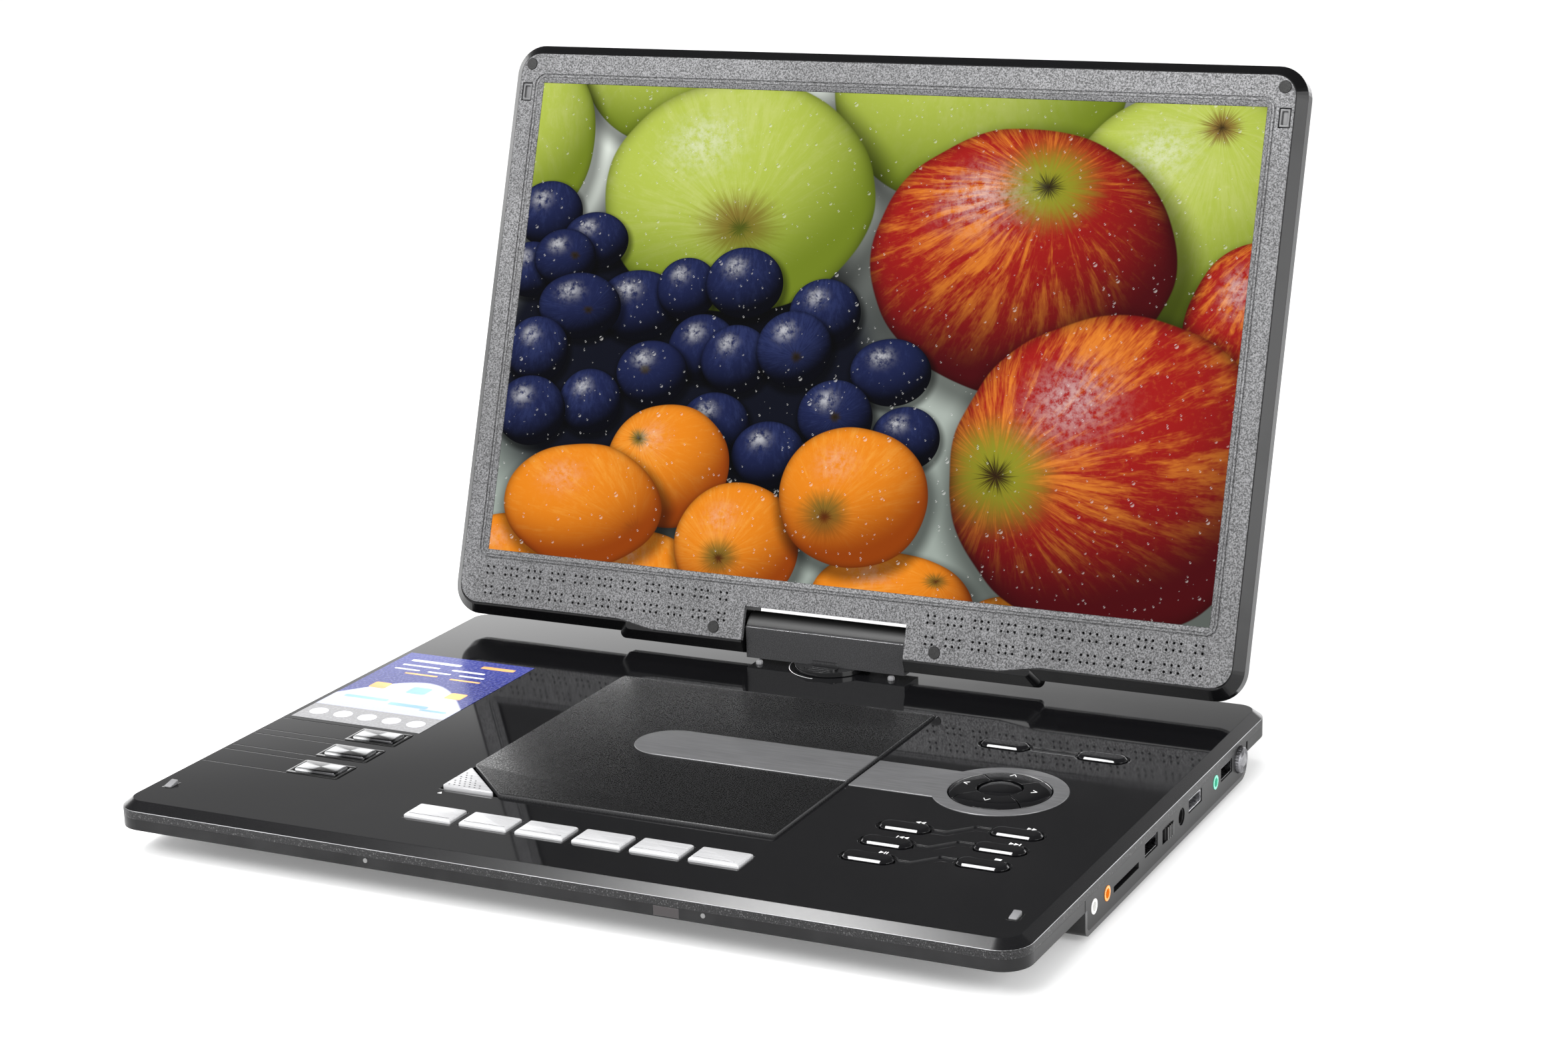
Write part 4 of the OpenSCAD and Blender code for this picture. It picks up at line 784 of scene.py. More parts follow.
class PieceOperator:
    """What every piece's operator shares."""

    bl_options = {"REGISTER", "UNDO"}


class PLAYER_OT_deck(PieceOperator, bpy.types.Operator):
    """Finish the deck's shells and add a painted highlight line round its edge"""

    bl_idname = "player.deck"
    bl_label = "Deck shells"

    def execute(self, context):
        tint = colours()
        paint_node("top_deck", deck_finish())
        soften("top_deck")
        paint_node("bottom_case", moulded("case_satin", tint.case, 0.36, 0.08, Specular_IOR_Level=0.12))
        paint_node("base_cover", moulded("cover_satin", (0.008, 0.008, 0.0085), 0.34, 0.05))
        paint_node("feet", rubber("foot_rubber"))
        paint_node("case_screws", metal("screw_zinc", (0.3, 0.3, 0.31)))
        low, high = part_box("top_deck")
        # A thin bright grey bar along the foot of the bevel: a painted highlight where the edge would catch
        # the light.
        line = moulded("edge_glint", (0.34, 0.34, 0.35), 0.25, 0.02)
        bm = bmesh.new()
        rings = []
        sides = 6
        r = sizes().edge_line
        loop = rounded(high.x - low.x - 2 * r, high.y - low.y - 2 * r, DECK_CORNER, 10)
        level = TOP - BEVEL
        for i, (x, y) in enumerate(loop):
            before, after = Vector(loop[i - 1]), Vector(loop[(i + 1) % len(loop)])
            out = (after - before).normalized()
            out = Vector((out.y, -out.x, 0))
            ring = []
            for k in range(sides):
                a = 2 * math.pi * k / sides
                ring.append(Vector((x, y, level)) + out * r * math.cos(a) + Vector((0, 0, r * math.sin(a))))
            rings.append([bm.verts.new(p) for p in ring])
        for i in range(len(rings)):
            a, b = rings[i], rings[(i + 1) % len(rings)]
            for k in range(sides):
                after = (k + 1) % sides
                bm.faces.new((a[k], a[after], b[after], b[k]))
        finish_mesh("deck_edge_highlight", bm, line, "base")
        return {"FINISHED"}


class PLAYER_OT_posts(PieceOperator, bpy.types.Operator):
    """Build the sloped catches at the front corners and the stops beside the hinge"""

    bl_idname = "player.posts"
    bl_label = "Catches and stops"

    def execute(self, context):
        low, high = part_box("rubber_bumpers")
        look = moulded("catch_grey", (0.16, 0.16, 0.165), 0.35, 0.04)
        w, d, front = CATCH_W, CATCH_D, 0.4 * MM
        post_x = high.x - w / 2
        post_y = low.y + d / 2
        bm = bmesh.new()
        for side in (-1, 1):
            rings = []
            for inset, share in ((0, -0.2), (0, 0.0), (0, 0.8), (0.12 * MM, 0.94), (0.4 * MM, 1.0)):
                ring = []
                for x, y in rounded(w - 2 * inset, d - 2 * inset, 0.45 * MM, 4):
                    slope = front + (high.z - TOP - front) * min(1, (y + d / 2) / (d - 1.2 * MM))
                    ring.append(Vector((side * post_x + x, post_y + y, TOP + slope * share)))
                rings.append(ring)
            add_loft(bm, rings)
        profile = ((STOP_R, -0.2 * MM), (STOP_R, 0.9 * MM), (STOP_R - 0.3 * MM, 1.4 * MM),
                   (STOP_R - 1.0 * MM, 1.6 * MM))
        for side in (-1, 1):
            add_turned(bm, profile, Vector((side * STOP_X, high.y - STOP_R, TOP)), 24)
        posts = finish_mesh("catches", bm, look, "base")
        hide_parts("rubber_bumpers")
        hollow = gloss("catch_surround", (0.003, 0.003, 0.003), 0.2)
        for side, tag in ((-1, "left"), (1, "right")):
            loops = [[(x + side * post_x, y + post_y) for x, y in rounded(w + g, d + g, 0.5 * MM, 3)]
                     for g in (1.6 * MM, 0.1 * MM)]
            rim = plate("catch_rim_" + tag, loops, TOP - 0.1 * MM, TOP + 0.06 * MM, 0.03 * MM, hollow, "base")
        return {"FINISHED"}


class PLAYER_OT_front_keys(PieceOperator, bpy.types.Operator):
    """Build the six brushed silver keys of the front row"""

    bl_idname = "player.front_keys"
    bl_label = "Front row of keys"

    def execute(self, context):
        look = metal("key_brushed_silver", colours().silver, 0.3, (1, 50, 50), 30, 0.08, 0.2 * MM, 0.35)
        lip = metal("key_lip", (0.2, 0.2, 0.205), 0.35)
        b = sizes().key_bevel
        for node in FRONT_KEYS:
            low, high, mid = box_of(node)
            w, d, top = high.x - low.x, high.y - low.y, high.z

            def outline(inset):
                return rounded(w - 2 * inset, d - 2 * inset, 0.6 * MM, 4)

            levels = ((0, low.z), (0, low.z + FLANGE), (FLANGE, low.z + FLANGE), (FLANGE, top - 2 * b),
                      (FLANGE + 0.15 * b, top - 1.1 * b), (FLANGE + b, top - 0.3 * b),
                      (FLANGE + 1.7 * b, top))
            cap = stacked(node + "_cap", outline, levels, mid, look, node)
            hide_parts(node)
            bm = bmesh.new()
            y = low.y + FLANGE + 1.9 * MM
            half = w / 2 - FLANGE - 1.4 * MM
            add_bar(bm, Vector((mid.x - half, y, top)), Vector((mid.x + half, y, top)), 0.14 * MM, 8)
            line = finish_mesh(node + "_line", bm, lip, node)
        return {"FINISHED"}


class PLAYER_OT_side_keys(PieceOperator, bpy.types.Operator):
    """Build the three spun metal keys at the left, with their dark surrounds"""

    bl_idname = "player.side_keys"
    bl_label = "Side keys"

    def execute(self, context):
        surround = gloss("key_surround", (0.006, 0.006, 0.006), 0.1)
        flange = FLANGE + 0.5 * MM
        for node in SIDE_KEYS:
            low, high, mid = box_of(node)
            w, d, top = high.x - low.x, high.y - low.y, high.z

            def outline(inset):
                return rounded(w - 2 * inset, d - 2 * inset, 0.7 * MM, 4)

            levels = ((0, low.z), (0, low.z + FLANGE), (flange, low.z + FLANGE), (flange, top - 0.8 * MM),
                      (flange + 0.15 * MM, top - 0.4 * MM), (flange + 0.5 * MM, top - 0.1 * MM),
                      (flange + 0.9 * MM, top))
            cap = stacked(node + "_cap", outline, levels, mid, wedge_reflection_finish(node + "_wedge_reflection", mid), node)
            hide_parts(node)
            outer = rounded(w + 2.0 * MM, d + 2.0 * MM, 0.9 * MM, 4)
            inner = rounded(w - 2 * flange + 1.2 * MM, d - 2 * flange + 1.2 * MM, 0.5 * MM, 4)
            moved = [[(x + mid.x, y + mid.y) for x, y in loop] for loop in (outer, inner)]
            rim = plate(node + "_rim", moved, TOP - 0.2 * MM, TOP + 0.25 * MM, 0.15 * MM, surround, "base")
        return {"FINISHED"}


class PLAYER_OT_oval_keys(PieceOperator, bpy.types.Operator):
    """Build the eight domed oval keys"""

    bl_idname = "player.oval_keys"
    bl_label = "Oval keys"

    def execute(self, context):
        look = gloss("key_piano_black", (0.004, 0.004, 0.0045), 0.05)
        for node in OVAL_KEYS:
            low, high, mid = box_of(node)
            w, d, top = high.x - low.x - 1.6 * MM, high.y - low.y, high.z

            def outline(inset):
                return rounded(w - 2 * inset, d - 2 * inset, (d - 2 * inset) / 2 * 0.999, 12)

            rise = top - TOP
            levels = ((0, low.z), (0, TOP + 0.1 * MM), (0.12 * MM, TOP + 0.22 * MM),
                      (0.55 * rise, top - 0.3 * MM), (0.75 * rise, top - 0.12 * MM),
                      (1.2 * rise, top - 0.03 * MM), (2.2 * rise, top))
            cap = stacked(node + "_cap", outline, levels, mid, look, node)
            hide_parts(node)
        return {"FINISHED"}


class PLAYER_OT_pad(PieceOperator, bpy.types.Operator):
    """Build the four-way pad in four parts, its round key, and the silver ring and band"""

    bl_idname = "player.pad"
    bl_label = "Four-way pad and ring"

    def execute(self, context):
        look = gloss("pad_piano_black", (0.004, 0.004, 0.0045), 0.05)
        low, high, mid = box_of("four_way_pad")
        ok_low, ok_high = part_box("ok_key")
        outer = (high.x - low.x) / 2 - FLANGE
        inner = (ok_high.x - ok_low.x) / 2 - FLANGE + 0.35 * MM
        top = high.z
        bm = bmesh.new()
        gap, steps = 0.28 * MM, 18
        profile = [
            (inner, top - 1.4 * MM), (inner, top - 0.25 * MM), (inner + 0.3 * MM, top),
            (outer - 4.4 * MM, top - 0.02 * MM), (outer - 2.4 * MM, top - 0.35 * MM),
            (outer - 0.9 * MM, top - 0.95 * MM), (outer - 0.15 * MM, top - 1.5 * MM),
            (outer, top - 2.2 * MM), (outer, low.z), (inner + 2 * MM, low.z),
        ]
        for k in range(4):
            rings = []
            for i in range(steps + 1):
                ring = []
                for r, z in profile:
                    trim = math.asin(min(1, gap / r))
                    a = math.radians(45 + 90 * k) + trim + i / steps * (math.pi / 2 - 2 * trim)
                    ring.append(Vector((mid.x + r * math.cos(a), mid.y + r * math.sin(a), z)))
                rings.append(ring)
            add_loft(bm, rings)
        pad = finish_mesh("pad_segments", bm, look, "four_way_pad")
        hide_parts("four_way_pad")
        bm = bmesh.new()
        r = (ok_high.x - ok_low.x) / 2 - FLANGE
        shoulder = TOP + 0.4 * MM
        rise = ok_high.z - shoulder
        profile = [(r + FLANGE, ok_low.z), (r + FLANGE, ok_low.z + FLANGE), (r, ok_low.z + FLANGE)]
        profile.append((r, shoulder))
        for i in range(1, 11):
            a = math.radians(90 * i / 10)
            profile.append((r * math.cos(a) ** 0.8 if i < 10 else 0.0, shoulder + rise * math.sin(a)))
        add_turned(bm, profile, Vector((mid.x, mid.y, 0)), 72)
        dome = finish_mesh("ok_dome", bm, look, "ok_key")
        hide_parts("ok_key")
        trim = band_finish()
        ring_low, ring_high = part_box("ring_trim")
        wide = ring_high.x - mid.x
        band_low, band_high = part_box("door_band")
        half = (band_high.y - band_low.y) / 2
        bend = math.asin(half / wide)
        outline = [(ring_low.x, mid.y - half), (mid.x - wide * math.cos(bend), mid.y - half)]
        for i in range(1, 72):
            a = -(math.pi - bend) + (2 * math.pi - 2 * bend) * i / 72
            outline.append((mid.x + wide * math.cos(a), mid.y + wide * math.sin(a)))
        outline += [(mid.x - wide * math.cos(bend), mid.y + half), (ring_low.x, mid.y + half)]
        hole = circle(outer + 0.35 * MM, 72, mid.x, mid.y)
        ring = plate("ring_and_band", [outline, hole], ring_low.z, ring_high.z, 0.28 * MM, trim, "base")
        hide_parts("ring_trim")
        outline = [(band_high.x, mid.y - half), (band_high.x, mid.y + half)]
        for i in range(25):
            a = math.radians(90 + 180 * i / 24)
            outline.append((band_low.x + half + half * math.cos(a), mid.y + half * math.sin(a)))
        band = plate("door_band_inlay", [outline], band_low.z, band_high.z, 0.28 * MM, trim, "door")
        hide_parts("door_band")
        return {"FINISHED"}


class PLAYER_OT_door(PieceOperator, bpy.types.Operator):
    """Build the grained disc door, the dotted open button, and finish the disc bay"""

    bl_idname = "player.door"
    bl_label = "Disc door and bay"

    def execute(self, context):
        low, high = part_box("disc_door")
        axis = Vector(JOINTS["door_hinge"]["pos_m"])
        x0, x1 = axis.x - DOOR_W / 2, axis.x + DOOR_W / 2
        y0, y1 = low.y, high.y
        cut_x, cut_y = x0 + DOOR_CUT_X, y0 + DOOR_CUT_Y
        outline = [(x1 - 1 * MM, y1 - 3 * MM), (x0 + 1 * MM, y1 - 3 * MM), (x0, y1 - 4 * MM)]
        outline += [(x0, cut_y + 1 * MM), (x0 + 0.7 * MM, cut_y - 0.6 * MM)]
        outline += [(cut_x - 0.6 * MM, y0 + 0.7 * MM), (cut_x + 1 * MM, y0)]
        outline += [(x1 - 1.2 * MM, y0), (x1 - 0.35 * MM, y0 + 0.35 * MM)]
        outline += [(x1, y0 + 1.2 * MM), (x1, y1 - 4 * MM)]
        grain = grained_finish()
        top = high.z
        leaf = plate("door_leaf", [outline], top - 2.4 * MM, top, 0.45 * MM, grain, "door")
        bm = bmesh.new()
        r, pin_r = top - axis.z - 0.06 * MM, 0.9 * MM
        centre = Vector((0, axis.y, axis.z))
        chamfer = 0.35 * MM
        profile = ((r - 0.34 * MM, x0), (r, x0 + chamfer), (r, x1 - chamfer), (r - 0.34 * MM, x1))
        add_turned(bm, profile, centre, 40, "X")
        add_turned(bm, ((pin_r, low.x), (pin_r, high.x)), centre, 20, "X")
        roll = finish_mesh("door_roll", bm, grain, "door")
        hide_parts("disc_door")
        self.open_button()
        paint_node("disc_well", moulded("well_satin", (0.014, 0.014, 0.015), 0.35))
        paint_node("spindle_hub", moulded("hub_satin", (0.03, 0.03, 0.031), 0.3))
        paint_node("pickup_sled", moulded("sled_satin", (0.02, 0.02, 0.022), 0.45))
        paint_node("pickup_lens", gloss("lens_coating", (0.03, 0.09, 0.3), 0.03))
        paint_node("lead_screw", metal("screw_brass", (0.75, 0.55, 0.25), 0.25, (30, 1, 30)))
        paint_node("guide_rods", metal("rod_steel", (0.75, 0.75, 0.76), 0.14, (30, 1, 30)))
        paint_node("drive_motors", metal("motor_can", (0.55, 0.55, 0.56), 0.3, (1, 1, 40)))
        return {"FINISHED"}

    def open_button(self):
        low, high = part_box("open_button")
        x, y = low.x, low.y
        w, d = high.x - x, high.y - y
        silver = metal("button_silver", (0.5, 0.5, 0.51), 0.34, (1, 40, 40), 30, 0.06, 0.15 * MM, 0.35)
        trim = 0.8 * MM
        outline = [(x + trim, y), (x + w - 2 * trim, y), (x + w - trim, y + 0.7 * trim)]
        outline += [(x + 0.7 * trim, y + d - trim), (x, y + d - 2 * trim), (x, y + trim)]
        top = high.z
        cap = plate("open_button_cap", [outline], top - 4.6 * MM, top, 0.4 * MM, silver, "open_button")
        bm = bmesh.new()
        profile = ((1.7 * MM, low.z), (2 * MM, low.z + 0.4 * MM), (2 * MM, top - 4 * MM))
        add_turned(bm, profile, Vector((x + 5 * MM, y + 5 * MM, 0)), 24)
        stem = finish_mesh("open_button_stem", bm, silver, "open_button")
        ink = moulded("button_ink", (0.05, 0.05, 0.052), 0.5, 0.02)
        bm = bmesh.new()
        rows = sizes().dots
        pitch = (w - 5 * MM) / rows
        profile = ((0.42 * MM, top - 0.05 * MM), (0.38 * MM, top + sizes().print_up))
        for i in range(rows):
            for j in range(rows):
                across = 2.0 * MM + pitch * (i + (0.5 if j % 2 else 0))
                along = 1.9 * MM + pitch * j * 0.96
                if across / w + along / d < 0.83:
                    add_turned(bm, profile, Vector((x + across, y + along, 0)), 12)
        dots = finish_mesh("open_button_dots", bm, ink, "open_button")
        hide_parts("open_button")


def glyph(bm, kind, x, y, z, size, up):
    """A small playback sign: triangles and bars."""
    shapes = {
        "play": ["R", "B", "B"], "stop": ["S"], "forward": ["R", "R"], "rewind": ["L", "L"],
        "next": ["R", "R", "B"], "previous": ["B", "L", "L"], "up": ["U"],
    }[kind]
    width = {"R": 0.9, "L": 0.9, "B": 0.42, "S": 1.3, "U": 1.1}
    at = x - sum(width[s] for s in shapes) * size / 2
    for shape in shapes:
        wide = width[shape] * size
        a, b, h = at, at + wide * 0.92, size * 0.5
        flat = {
            "R": [(a, y - h), (b, y), (a, y + h)], "L": [(b, y - h), (b, y + h), (a, y)],
            "B": [(a, y - h), (a + wide * 0.5, y - h), (a + wide * 0.5, y + h), (a, y + h)],
            "S": [(a, y - h * 0.7), (b, y - h * 0.7), (b, y + h * 0.7), (a, y + h * 0.7)],
            "U": [(a, y - h), (b, y - h), ((a + b) / 2, y + h * 0.8)],
        }[shape]
        add_prism(bm, flat, z - SUNK, z + up)
        at += wide


class PLAYER_OT_print(PieceOperator, bpy.types.Operator):
    """Add the printed playback signs, the swivel arc, the pad marks and the label's print"""

    bl_idname = "player.print"
    bl_label = "Printed marks"

    def execute(self, context):
        up = sizes().print_up
        ink = moulded("print_white", (0.75, 0.75, 0.75), 0.45, 0.02)
        signs = {"rewind_key": "rewind", "forward_key": "forward", "previous_key": "previous",
                 "next_key": "next", "play_key": "play", "stop_key": "stop"}
        bm = bmesh.new()
        for node, kind in signs.items():
            low, high, mid = box_of(node)
            glyph(bm, kind, mid.x + 3.4 * MM, high.y + 2.5 * MM, TOP, 2.1 * MM, up)
        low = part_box("open_button")[0]
        glyph(bm, "up", low.x + 2 * MM, low.y - 4.2 * MM, TOP, 1.9 * MM, up)
        marks = finish_mesh("deck_signs", bm, ink, "base", False)
        self.pad_marks(ink)
        self.arc(ink)
        self.label()
        return {"FINISHED"}

    def pad_marks(self, ink):
        high, mid = box_of("four_way_pad")[1:]
        centre = Vector((mid.x, mid.y, high.z))
        bm = bmesh.new()
        r = 13.6 * MM
        for k in range(4):
            a = math.radians(90 * k)
            out = Vector((math.cos(a), math.sin(a), 0))
            side = Vector((-math.sin(a), math.cos(a), 0)) * 1.3 * MM
            tip = centre + out * (r + 1.1 * MM)
            back = centre + out * (r - 0.9 * MM)
            for end in (back + side, back - side):
                add_bar(bm, tip, end, 0.14 * MM, 6)
        marks = finish_mesh("pad_marks", bm, ink, "four_way_pad", False)

    def arc(self, ink):
        bm = bmesh.new()
        points = []
        for i in range(41):
            a = math.radians(172 + 96 * i / 40)
            points.append(Vector((TURN.x + ARC_R * math.cos(a), TURN.y + ARC_R * math.sin(a), 0)))
        for a, b in zip(points, points[1:]):
            side = (b - a).normalized().cross(Vector((0, 0, 1))) * 0.14 * MM
            flat = [(p.x, p.y) for p in (a - side, b - side, b + side, a + side)]
            add_prism(bm, flat, TOP - SUNK, TOP + sizes().print_up)
        finish_mesh("swivel_arc", bm, ink, "base", False)

    def label(self):
        paint_node("feature_label", label_finish())
        low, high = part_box("feature_label")
        pale = moulded("label_pale", (0.72, 0.73, 0.78), 0.3, 0.01)
        warm = moulded("label_warm", (0.75, 0.36, 0.12), 0.3, 0.01)
        sky = moulded("label_sky", (0.2, 0.38, 0.72), 0.3, 0.01)
        w, d = high.x - low.x, high.y - low.y
        top, proud = high.z, 0.02 * MM

        def tile(name, items, mat, round_one=False):
            bm = bmesh.new()
            for u, v, tw, td in items:
                x, y = low.x + u * w, low.y + v * d
                flat = circle(1, 20) if round_one else rounded(2, 2, 0.3, 3)
                outline = [(x + px * tw * w / 2, y + py * td * d / 2) for px, py in flat]
                add_prism(bm, outline, top - proud, top + proud)
            finish_mesh(name, bm, mat, "base", False)

        tile("label_discs", [(0.12 + 0.19 * i, 0.1, 0.13, 0.085) for i in range(5)], pale, True)
        bars = [(0.3, 0.9, 0.4, 0.03), (0.24, 0.83, 0.3, 0.02), (0.62, 0.83, 0.26, 0.02)]
        bars += [(0.18, 0.77, 0.2, 0.018), (0.44, 0.77, 0.18, 0.018), (0.7, 0.77, 0.2, 0.018)]
        tile("label_bars", bars, pale)
        bars = [(0.78, 0.92, 0.26, 0.035), (0.34, 0.72, 0.26, 0.018), (0.7, 0.71, 0.24, 0.018)]
        bars += [(0.2, 0.52, 0.13, 0.08), (0.82, 0.5, 0.13, 0.08)]
        tile("label_warm_bars", bars, warm)
        bars = [(0.52, 0.51, 0.15, 0.09), (0.26, 0.34, 0.34, 0.03), (0.62, 0.31, 0.3, 0.035)]
        bars.append((0.84, 0.28, 0.2, 0.02))
        tile("label_sky_bars", bars, sky)


class PLAYER_OT_ports(PieceOperator, bpy.types.Operator):
    """Finish the sockets, slider and front windows, and build the ridged volume dial"""

    bl_idname = "player.ports"
    bl_label = "Ports and controls"

    def execute(self, context):
        paint_node("metal_sockets", socket_finish())
        paint_node("card_reader", metal("reader_sheet", (0.1, 0.1, 0.105), 0.4))
        paint_node("power_inlet", moulded("inlet_black", (0.008, 0.008, 0.008), 0.3))
        paint_node("white_jack", gloss("jack_white", (0.82, 0.82, 0.8), 0.2))
        paint_node("orange_jack", gloss("jack_orange", (0.9, 0.28, 0.02), 0.2))
        paint_node("green_jack", gloss("jack_green", (0.12, 0.62, 0.42), 0.2))
        paint_node("power_slider", moulded("slider_black", (0.012, 0.012, 0.012), 0.4))
        paint_node("remote_window", gloss("window_tint", (0.006, 0.002, 0.003), 0.08))
        paint_node("light_pipes", gloss("light_clear", (0.12, 0.12, 0.12), 0.1))
        paint_node("main_board", board_finish())
        paint_node("key_board", board_finish())
        paint_node("battery_pack", moulded("battery_wrap", (0.02, 0.05, 0.3), 0.25, 0.02))
        self.dial()
        return {"FINISHED"}

    def dial(self):
        low, high, mid = box_of("volume_dial")
        r = (high.y - low.y) / 2
        look = metal("dial_turned", (0.2, 0.2, 0.21), 0.36, (1, 1, 1), 900, 0.05)
        bm = bmesh.new()
        face = high.x - 0.5 * MM
        profile = [(1.5 * MM, low.x), (1.5 * MM, face - 4 * MM), (r, face - 4 * MM), (r, face - 0.6 * MM),
                   (r - 0.3 * MM, face - 0.15 * MM)]
        edge = r - 0.5 * MM
        while edge > 3.2 * MM:
            profile += [(edge, face), (edge - 0.12 * MM, face), (edge - 0.22 * MM, face - 0.22 * MM),
                        (edge - 0.34 * MM, face - 0.22 * MM)]
            edge -= 0.46 * MM
        for i in range(7):
            a = math.radians(90 * i / 6)
            profile.append((2.9 * MM * math.cos(a), face - 0.1 * MM + 0.55 * MM * math.sin(a)))
        add_turned(bm, profile, Vector((0, mid.y, mid.z)), 96, "X")
        for y, z in circle(r - SUNK, 28, mid.y, mid.z):
            add_bar(bm, Vector((face - 3 * MM, y, z)), Vector((face - 0.5 * MM, y, z)), 0.16 * MM, 6)
        dial = finish_mesh("dial_ridged", bm, look, "volume_dial")
        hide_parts("volume_dial")


class PLAYER_OT_hinge(PieceOperator, bpy.types.Operator):
    """Finish the swivel hinge and add a painted highlight bar along the ridge of its block"""

    bl_idname = "player.hinge"
    bl_label = "Swivel hinge"

    def execute(self, context):
        paint_node("turntable", gloss("turntable_gloss", (0.008, 0.008, 0.0085), 0.12))
        block = speckled("hinge_flake", (0.02, 0.02, 0.021), 0.6, 0.45, 0.1, 2600, 0.3 * MM)
        paint_node("hinge_block", block)
        paint_node("hinge_barrel", moulded("barrel_black", (0.004, 0.004, 0.004), 0.5))
        paint_node("tilt_pins", metal("pin_steel", (0.7, 0.7, 0.71), 0.2))
        low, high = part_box("hinge_block")
        # A bright metal bar along the block's top front edge: a painted highlight on the ridge.
        look = metal("ridge_glint", (0.45, 0.45, 0.46), 0.3, (1, 30, 30))
        bm = bmesh.new()
        start = Vector((low.x + 0.3 * MM, low.y + 0.25 * MM, TILT.z + 2.55 * MM))
        add_bar(bm, start, start + Vector((high.x - low.x - 0.6 * MM, 0, 0)), 0.2 * MM, 12)
        finish_mesh("hinge_ridge_highlight", bm, look, "swivel")
        return {"FINISHED"}


class PLAYER_OT_lid(PieceOperator, bpy.types.Operator):
    """Finish the lid's shells, what is inside it and the screw pads, and add the inserts in the catch slots
    """

    bl_idname = "player.lid"
    bl_label = "Screen lid"

    def execute(self, context):
        paint_node("bezel", bezel_finish())
        shell = gloss("lid_gloss", (0.003, 0.003, 0.0033), 0.2, 0.4 * MM, Specular_IOR_Level=0.22)
        paint_node("lid_shell", shell)
        paint_node("lcd_frame", moulded("tray_satin", (0.02, 0.02, 0.02), 0.5))
        paint_node("speakers", moulded("speaker_box", (0.008, 0.008, 0.008), 0.6))
        paint_node("screw_pads", rubber("pad_rubber", (0.003, 0.003, 0.003)))
        low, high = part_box("rubber_bumpers")
        x, up = high.x - CATCH_W / 2, TILT.y - low.y - CATCH_D / 2
        insert = moulded("catch_insert", (0.07, 0.07, 0.072), 0.35, 0.04)
        for side, tag in ((-1, "left"), (1, "right")):
            loops = [[(px + side * x, py + up) for px, py in rounded(w, d, 0.3 * MM, 3)]
                     for w, d in ((4.2 * MM, 7.4 * MM), (2.4 * MM, 5.4 * MM))]
            rim = plate("catch_insert_" + tag, loops, 7.9 * MM, 9.3 * MM, 0.25 * MM,
                        insert, "lid", lid_place())
            floor = plate("catch_floor_" + tag, loops[:1], 7.7 * MM, 8.2 * MM, 0.1 * MM,
                          insert, "lid", lid_place())
        return {"FINISHED"}


class PLAYER_OT_picture(PieceOperator, bpy.types.Operator):
    """Light the display with its still life"""

    bl_idname = "player.picture"
    bl_label = "Lit picture"

    def execute(self, context):
        panel = paint_node("lcd_panel", picture_finish())
        panel.visible_glossy = False
        panel.visible_diffuse = False
        return {"FINISHED"}


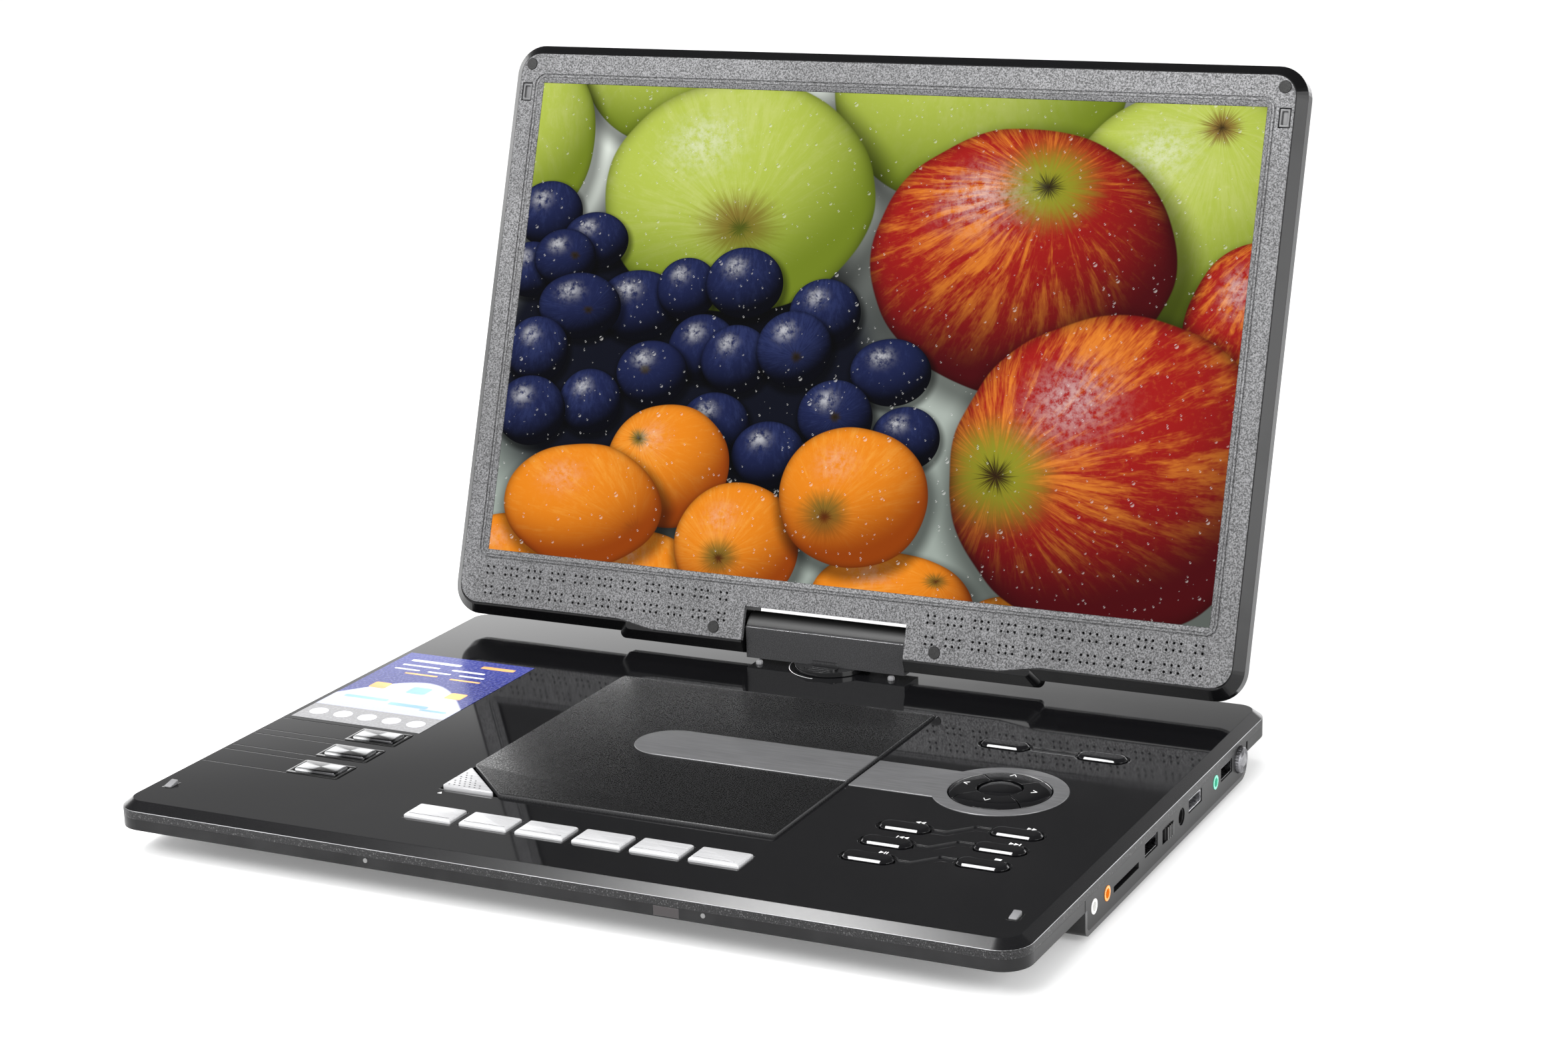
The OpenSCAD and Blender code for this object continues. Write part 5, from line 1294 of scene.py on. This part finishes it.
class PLAYER_OT_stage(PieceOperator, bpy.types.Operator):
    """Set up the camera, the pale floor and the soft studio light"""

    bl_idname = "player.stage"
    bl_label = "Stage"

    def execute(self, context):
        self.camera(context.scene)
        self.floor()
        self.world(context.scene)
        self.softbox("front_softbox", (-0.35, -1.25, 1.15), (0, 0, 0.05), 1.5, 0.55, 18)
        self.softbox("side_softbox", (1.7, -0.5, 0.75), (0, 0, 0.05), 1.0, 1.0, 16)
        self.softbox("top_softbox", (-0.5, 0.3, 1.9), (0, 0, 0), 1.4, 1.4, 20, False)
        self.softbox("key_softbox", (-0.33, -0.49, 1.04), (0.12, -0.05, 0), 0.42, 0.34, 12)
        context.scene.view_settings.view_transform = "Standard"
        return {"FINISHED"}

    def camera(self, scene):
        set_up = studio()
        a, e, r = set_up.azimuth, set_up.height, set_up.roll
        back = Vector((math.sin(a) * math.cos(e), -math.cos(a) * math.cos(e), math.sin(e)))
        right = Vector((math.cos(a), math.sin(a), 0))
        up = back.cross(right)
        place = back * set_up.distance + right * set_up.side + up * set_up.rise
        turned = (right * math.cos(r) + up * math.sin(r), up * math.cos(r) - right * math.sin(r), back)
        data = bpy.data.cameras.new("camera")
        data.sensor_width = 36
        data.lens = set_up.lens
        data.clip_start = 0.01
        camera = bpy.data.objects.new("camera", data)
        camera.matrix_world = Matrix.Translation(place) @ Matrix(turned).transposed().to_4x4()
        scene.collection.objects.link(camera)
        scene.camera = camera

    def floor(self):
        look = Look("floor_paper")
        fibre = look.noise(6, 3)
        tone = look.mix(look.band(fibre, 0.3, 0.7), (0.9, 0.9, 0.9), (0.93, 0.93, 0.93))
        look.use(Base_Color=tone, Roughness=0.6, Specular_IOR_Level=0.2,
                 Emission_Color=(1, 1, 1), Emission_Strength=0.2)
        bm = bmesh.new()
        bmesh.ops.create_grid(bm, x_segments=8, y_segments=8, size=6)
        floor = finish_mesh("floor", bm, look.mat, None, False)

    def world(self, scene):
        world = bpy.data.worlds.new("studio")
        world.use_nodes = True
        look = Look.__new__(Look)
        look.tree = world.node_tree
        look.tree.nodes.clear()
        z = look.axes(look.node("TexCoord").outputs["Generated"])[2]
        low_wall = look.band(z, 0.26, 0.335, 2.6, 0.34)
        high_wall = look.band(z, 0.36, 0.5, 0.0, -0.2)
        shine = look.math("ADD", low_wall, high_wall)
        path = look.node("LightPath").outputs
        mirror = path["Is Glossy Ray"]
        soft = look.math("SUBTRACT", 1.0, mirror)
        light = look.math("ADD", look.math("MULTIPLY", shine, mirror), look.math("MULTIPLY", soft, 0.85))
        light = look.math("MAXIMUM", light, path["Is Camera Ray"])
        backdrop = look.node("Background", Color=(1, 1, 1), Strength=light)
        out = look.tree.nodes.new("ShaderNodeOutputWorld")
        look.tree.links.new(backdrop.outputs[0], out.inputs[0])
        scene.world = world

    def softbox(self, name, place, target, w, h, power, mirrored=True):
        data = bpy.data.lights.new(name, "AREA")
        data.shape = "RECTANGLE"
        data.size = w
        data.size_y = h
        data.energy = power
        light = bpy.data.objects.new(name, data)
        light.location = place
        light.rotation_euler = (Vector(target) - Vector(place)).to_track_quat("-Z", "Y").to_euler()
        light.visible_glossy = mirrored
        bpy.context.scene.collection.objects.link(light)


class PLAYER_PT_panel(bpy.types.Panel):
    """Lists the player's pieces"""

    bl_idname = "PLAYER_PT_panel"
    bl_label = "Portable disc player"
    bl_space_type = "VIEW_3D"
    bl_region_type = "UI"
    bl_category = "Player"

    def draw(self, context):
        layout = self.layout
        for group in (context.scene.player_sizes, context.scene.player_colours, context.scene.player_studio):
            box = layout.box()
            for name in group.__annotations__:
                box.prop(group, name)
        for operator in PIECES:
            layout.operator(operator.bl_idname)


PIECES = (
    PLAYER_OT_stage, PLAYER_OT_deck, PLAYER_OT_posts, PLAYER_OT_front_keys, PLAYER_OT_side_keys,
    PLAYER_OT_oval_keys, PLAYER_OT_pad, PLAYER_OT_door, PLAYER_OT_print, PLAYER_OT_ports,
    PLAYER_OT_hinge, PLAYER_OT_lid, PLAYER_OT_picture,
)
GROUPS = (PLAYER_PG_sizes, PLAYER_PG_colours, PLAYER_PG_studio)


def register():
    for item in GROUPS + PIECES + (PLAYER_PT_panel,):
        bpy.utils.register_class(item)
    bpy.types.Scene.player_sizes = PointerProperty(type=PLAYER_PG_sizes)
    bpy.types.Scene.player_colours = PointerProperty(type=PLAYER_PG_colours)
    bpy.types.Scene.player_studio = PointerProperty(type=PLAYER_PG_studio)


def unregister():
    del bpy.types.Scene.player_studio
    del bpy.types.Scene.player_colours
    del bpy.types.Scene.player_sizes
    for item in reversed(GROUPS + PIECES + (PLAYER_PT_panel,)):
        bpy.utils.unregister_class(item)


def main():
    register()
    for operator in PIECES:
        group, name = operator.bl_idname.split(".")
        getattr(getattr(bpy.ops, group), name)()


if __name__ == "__main__":
    main()
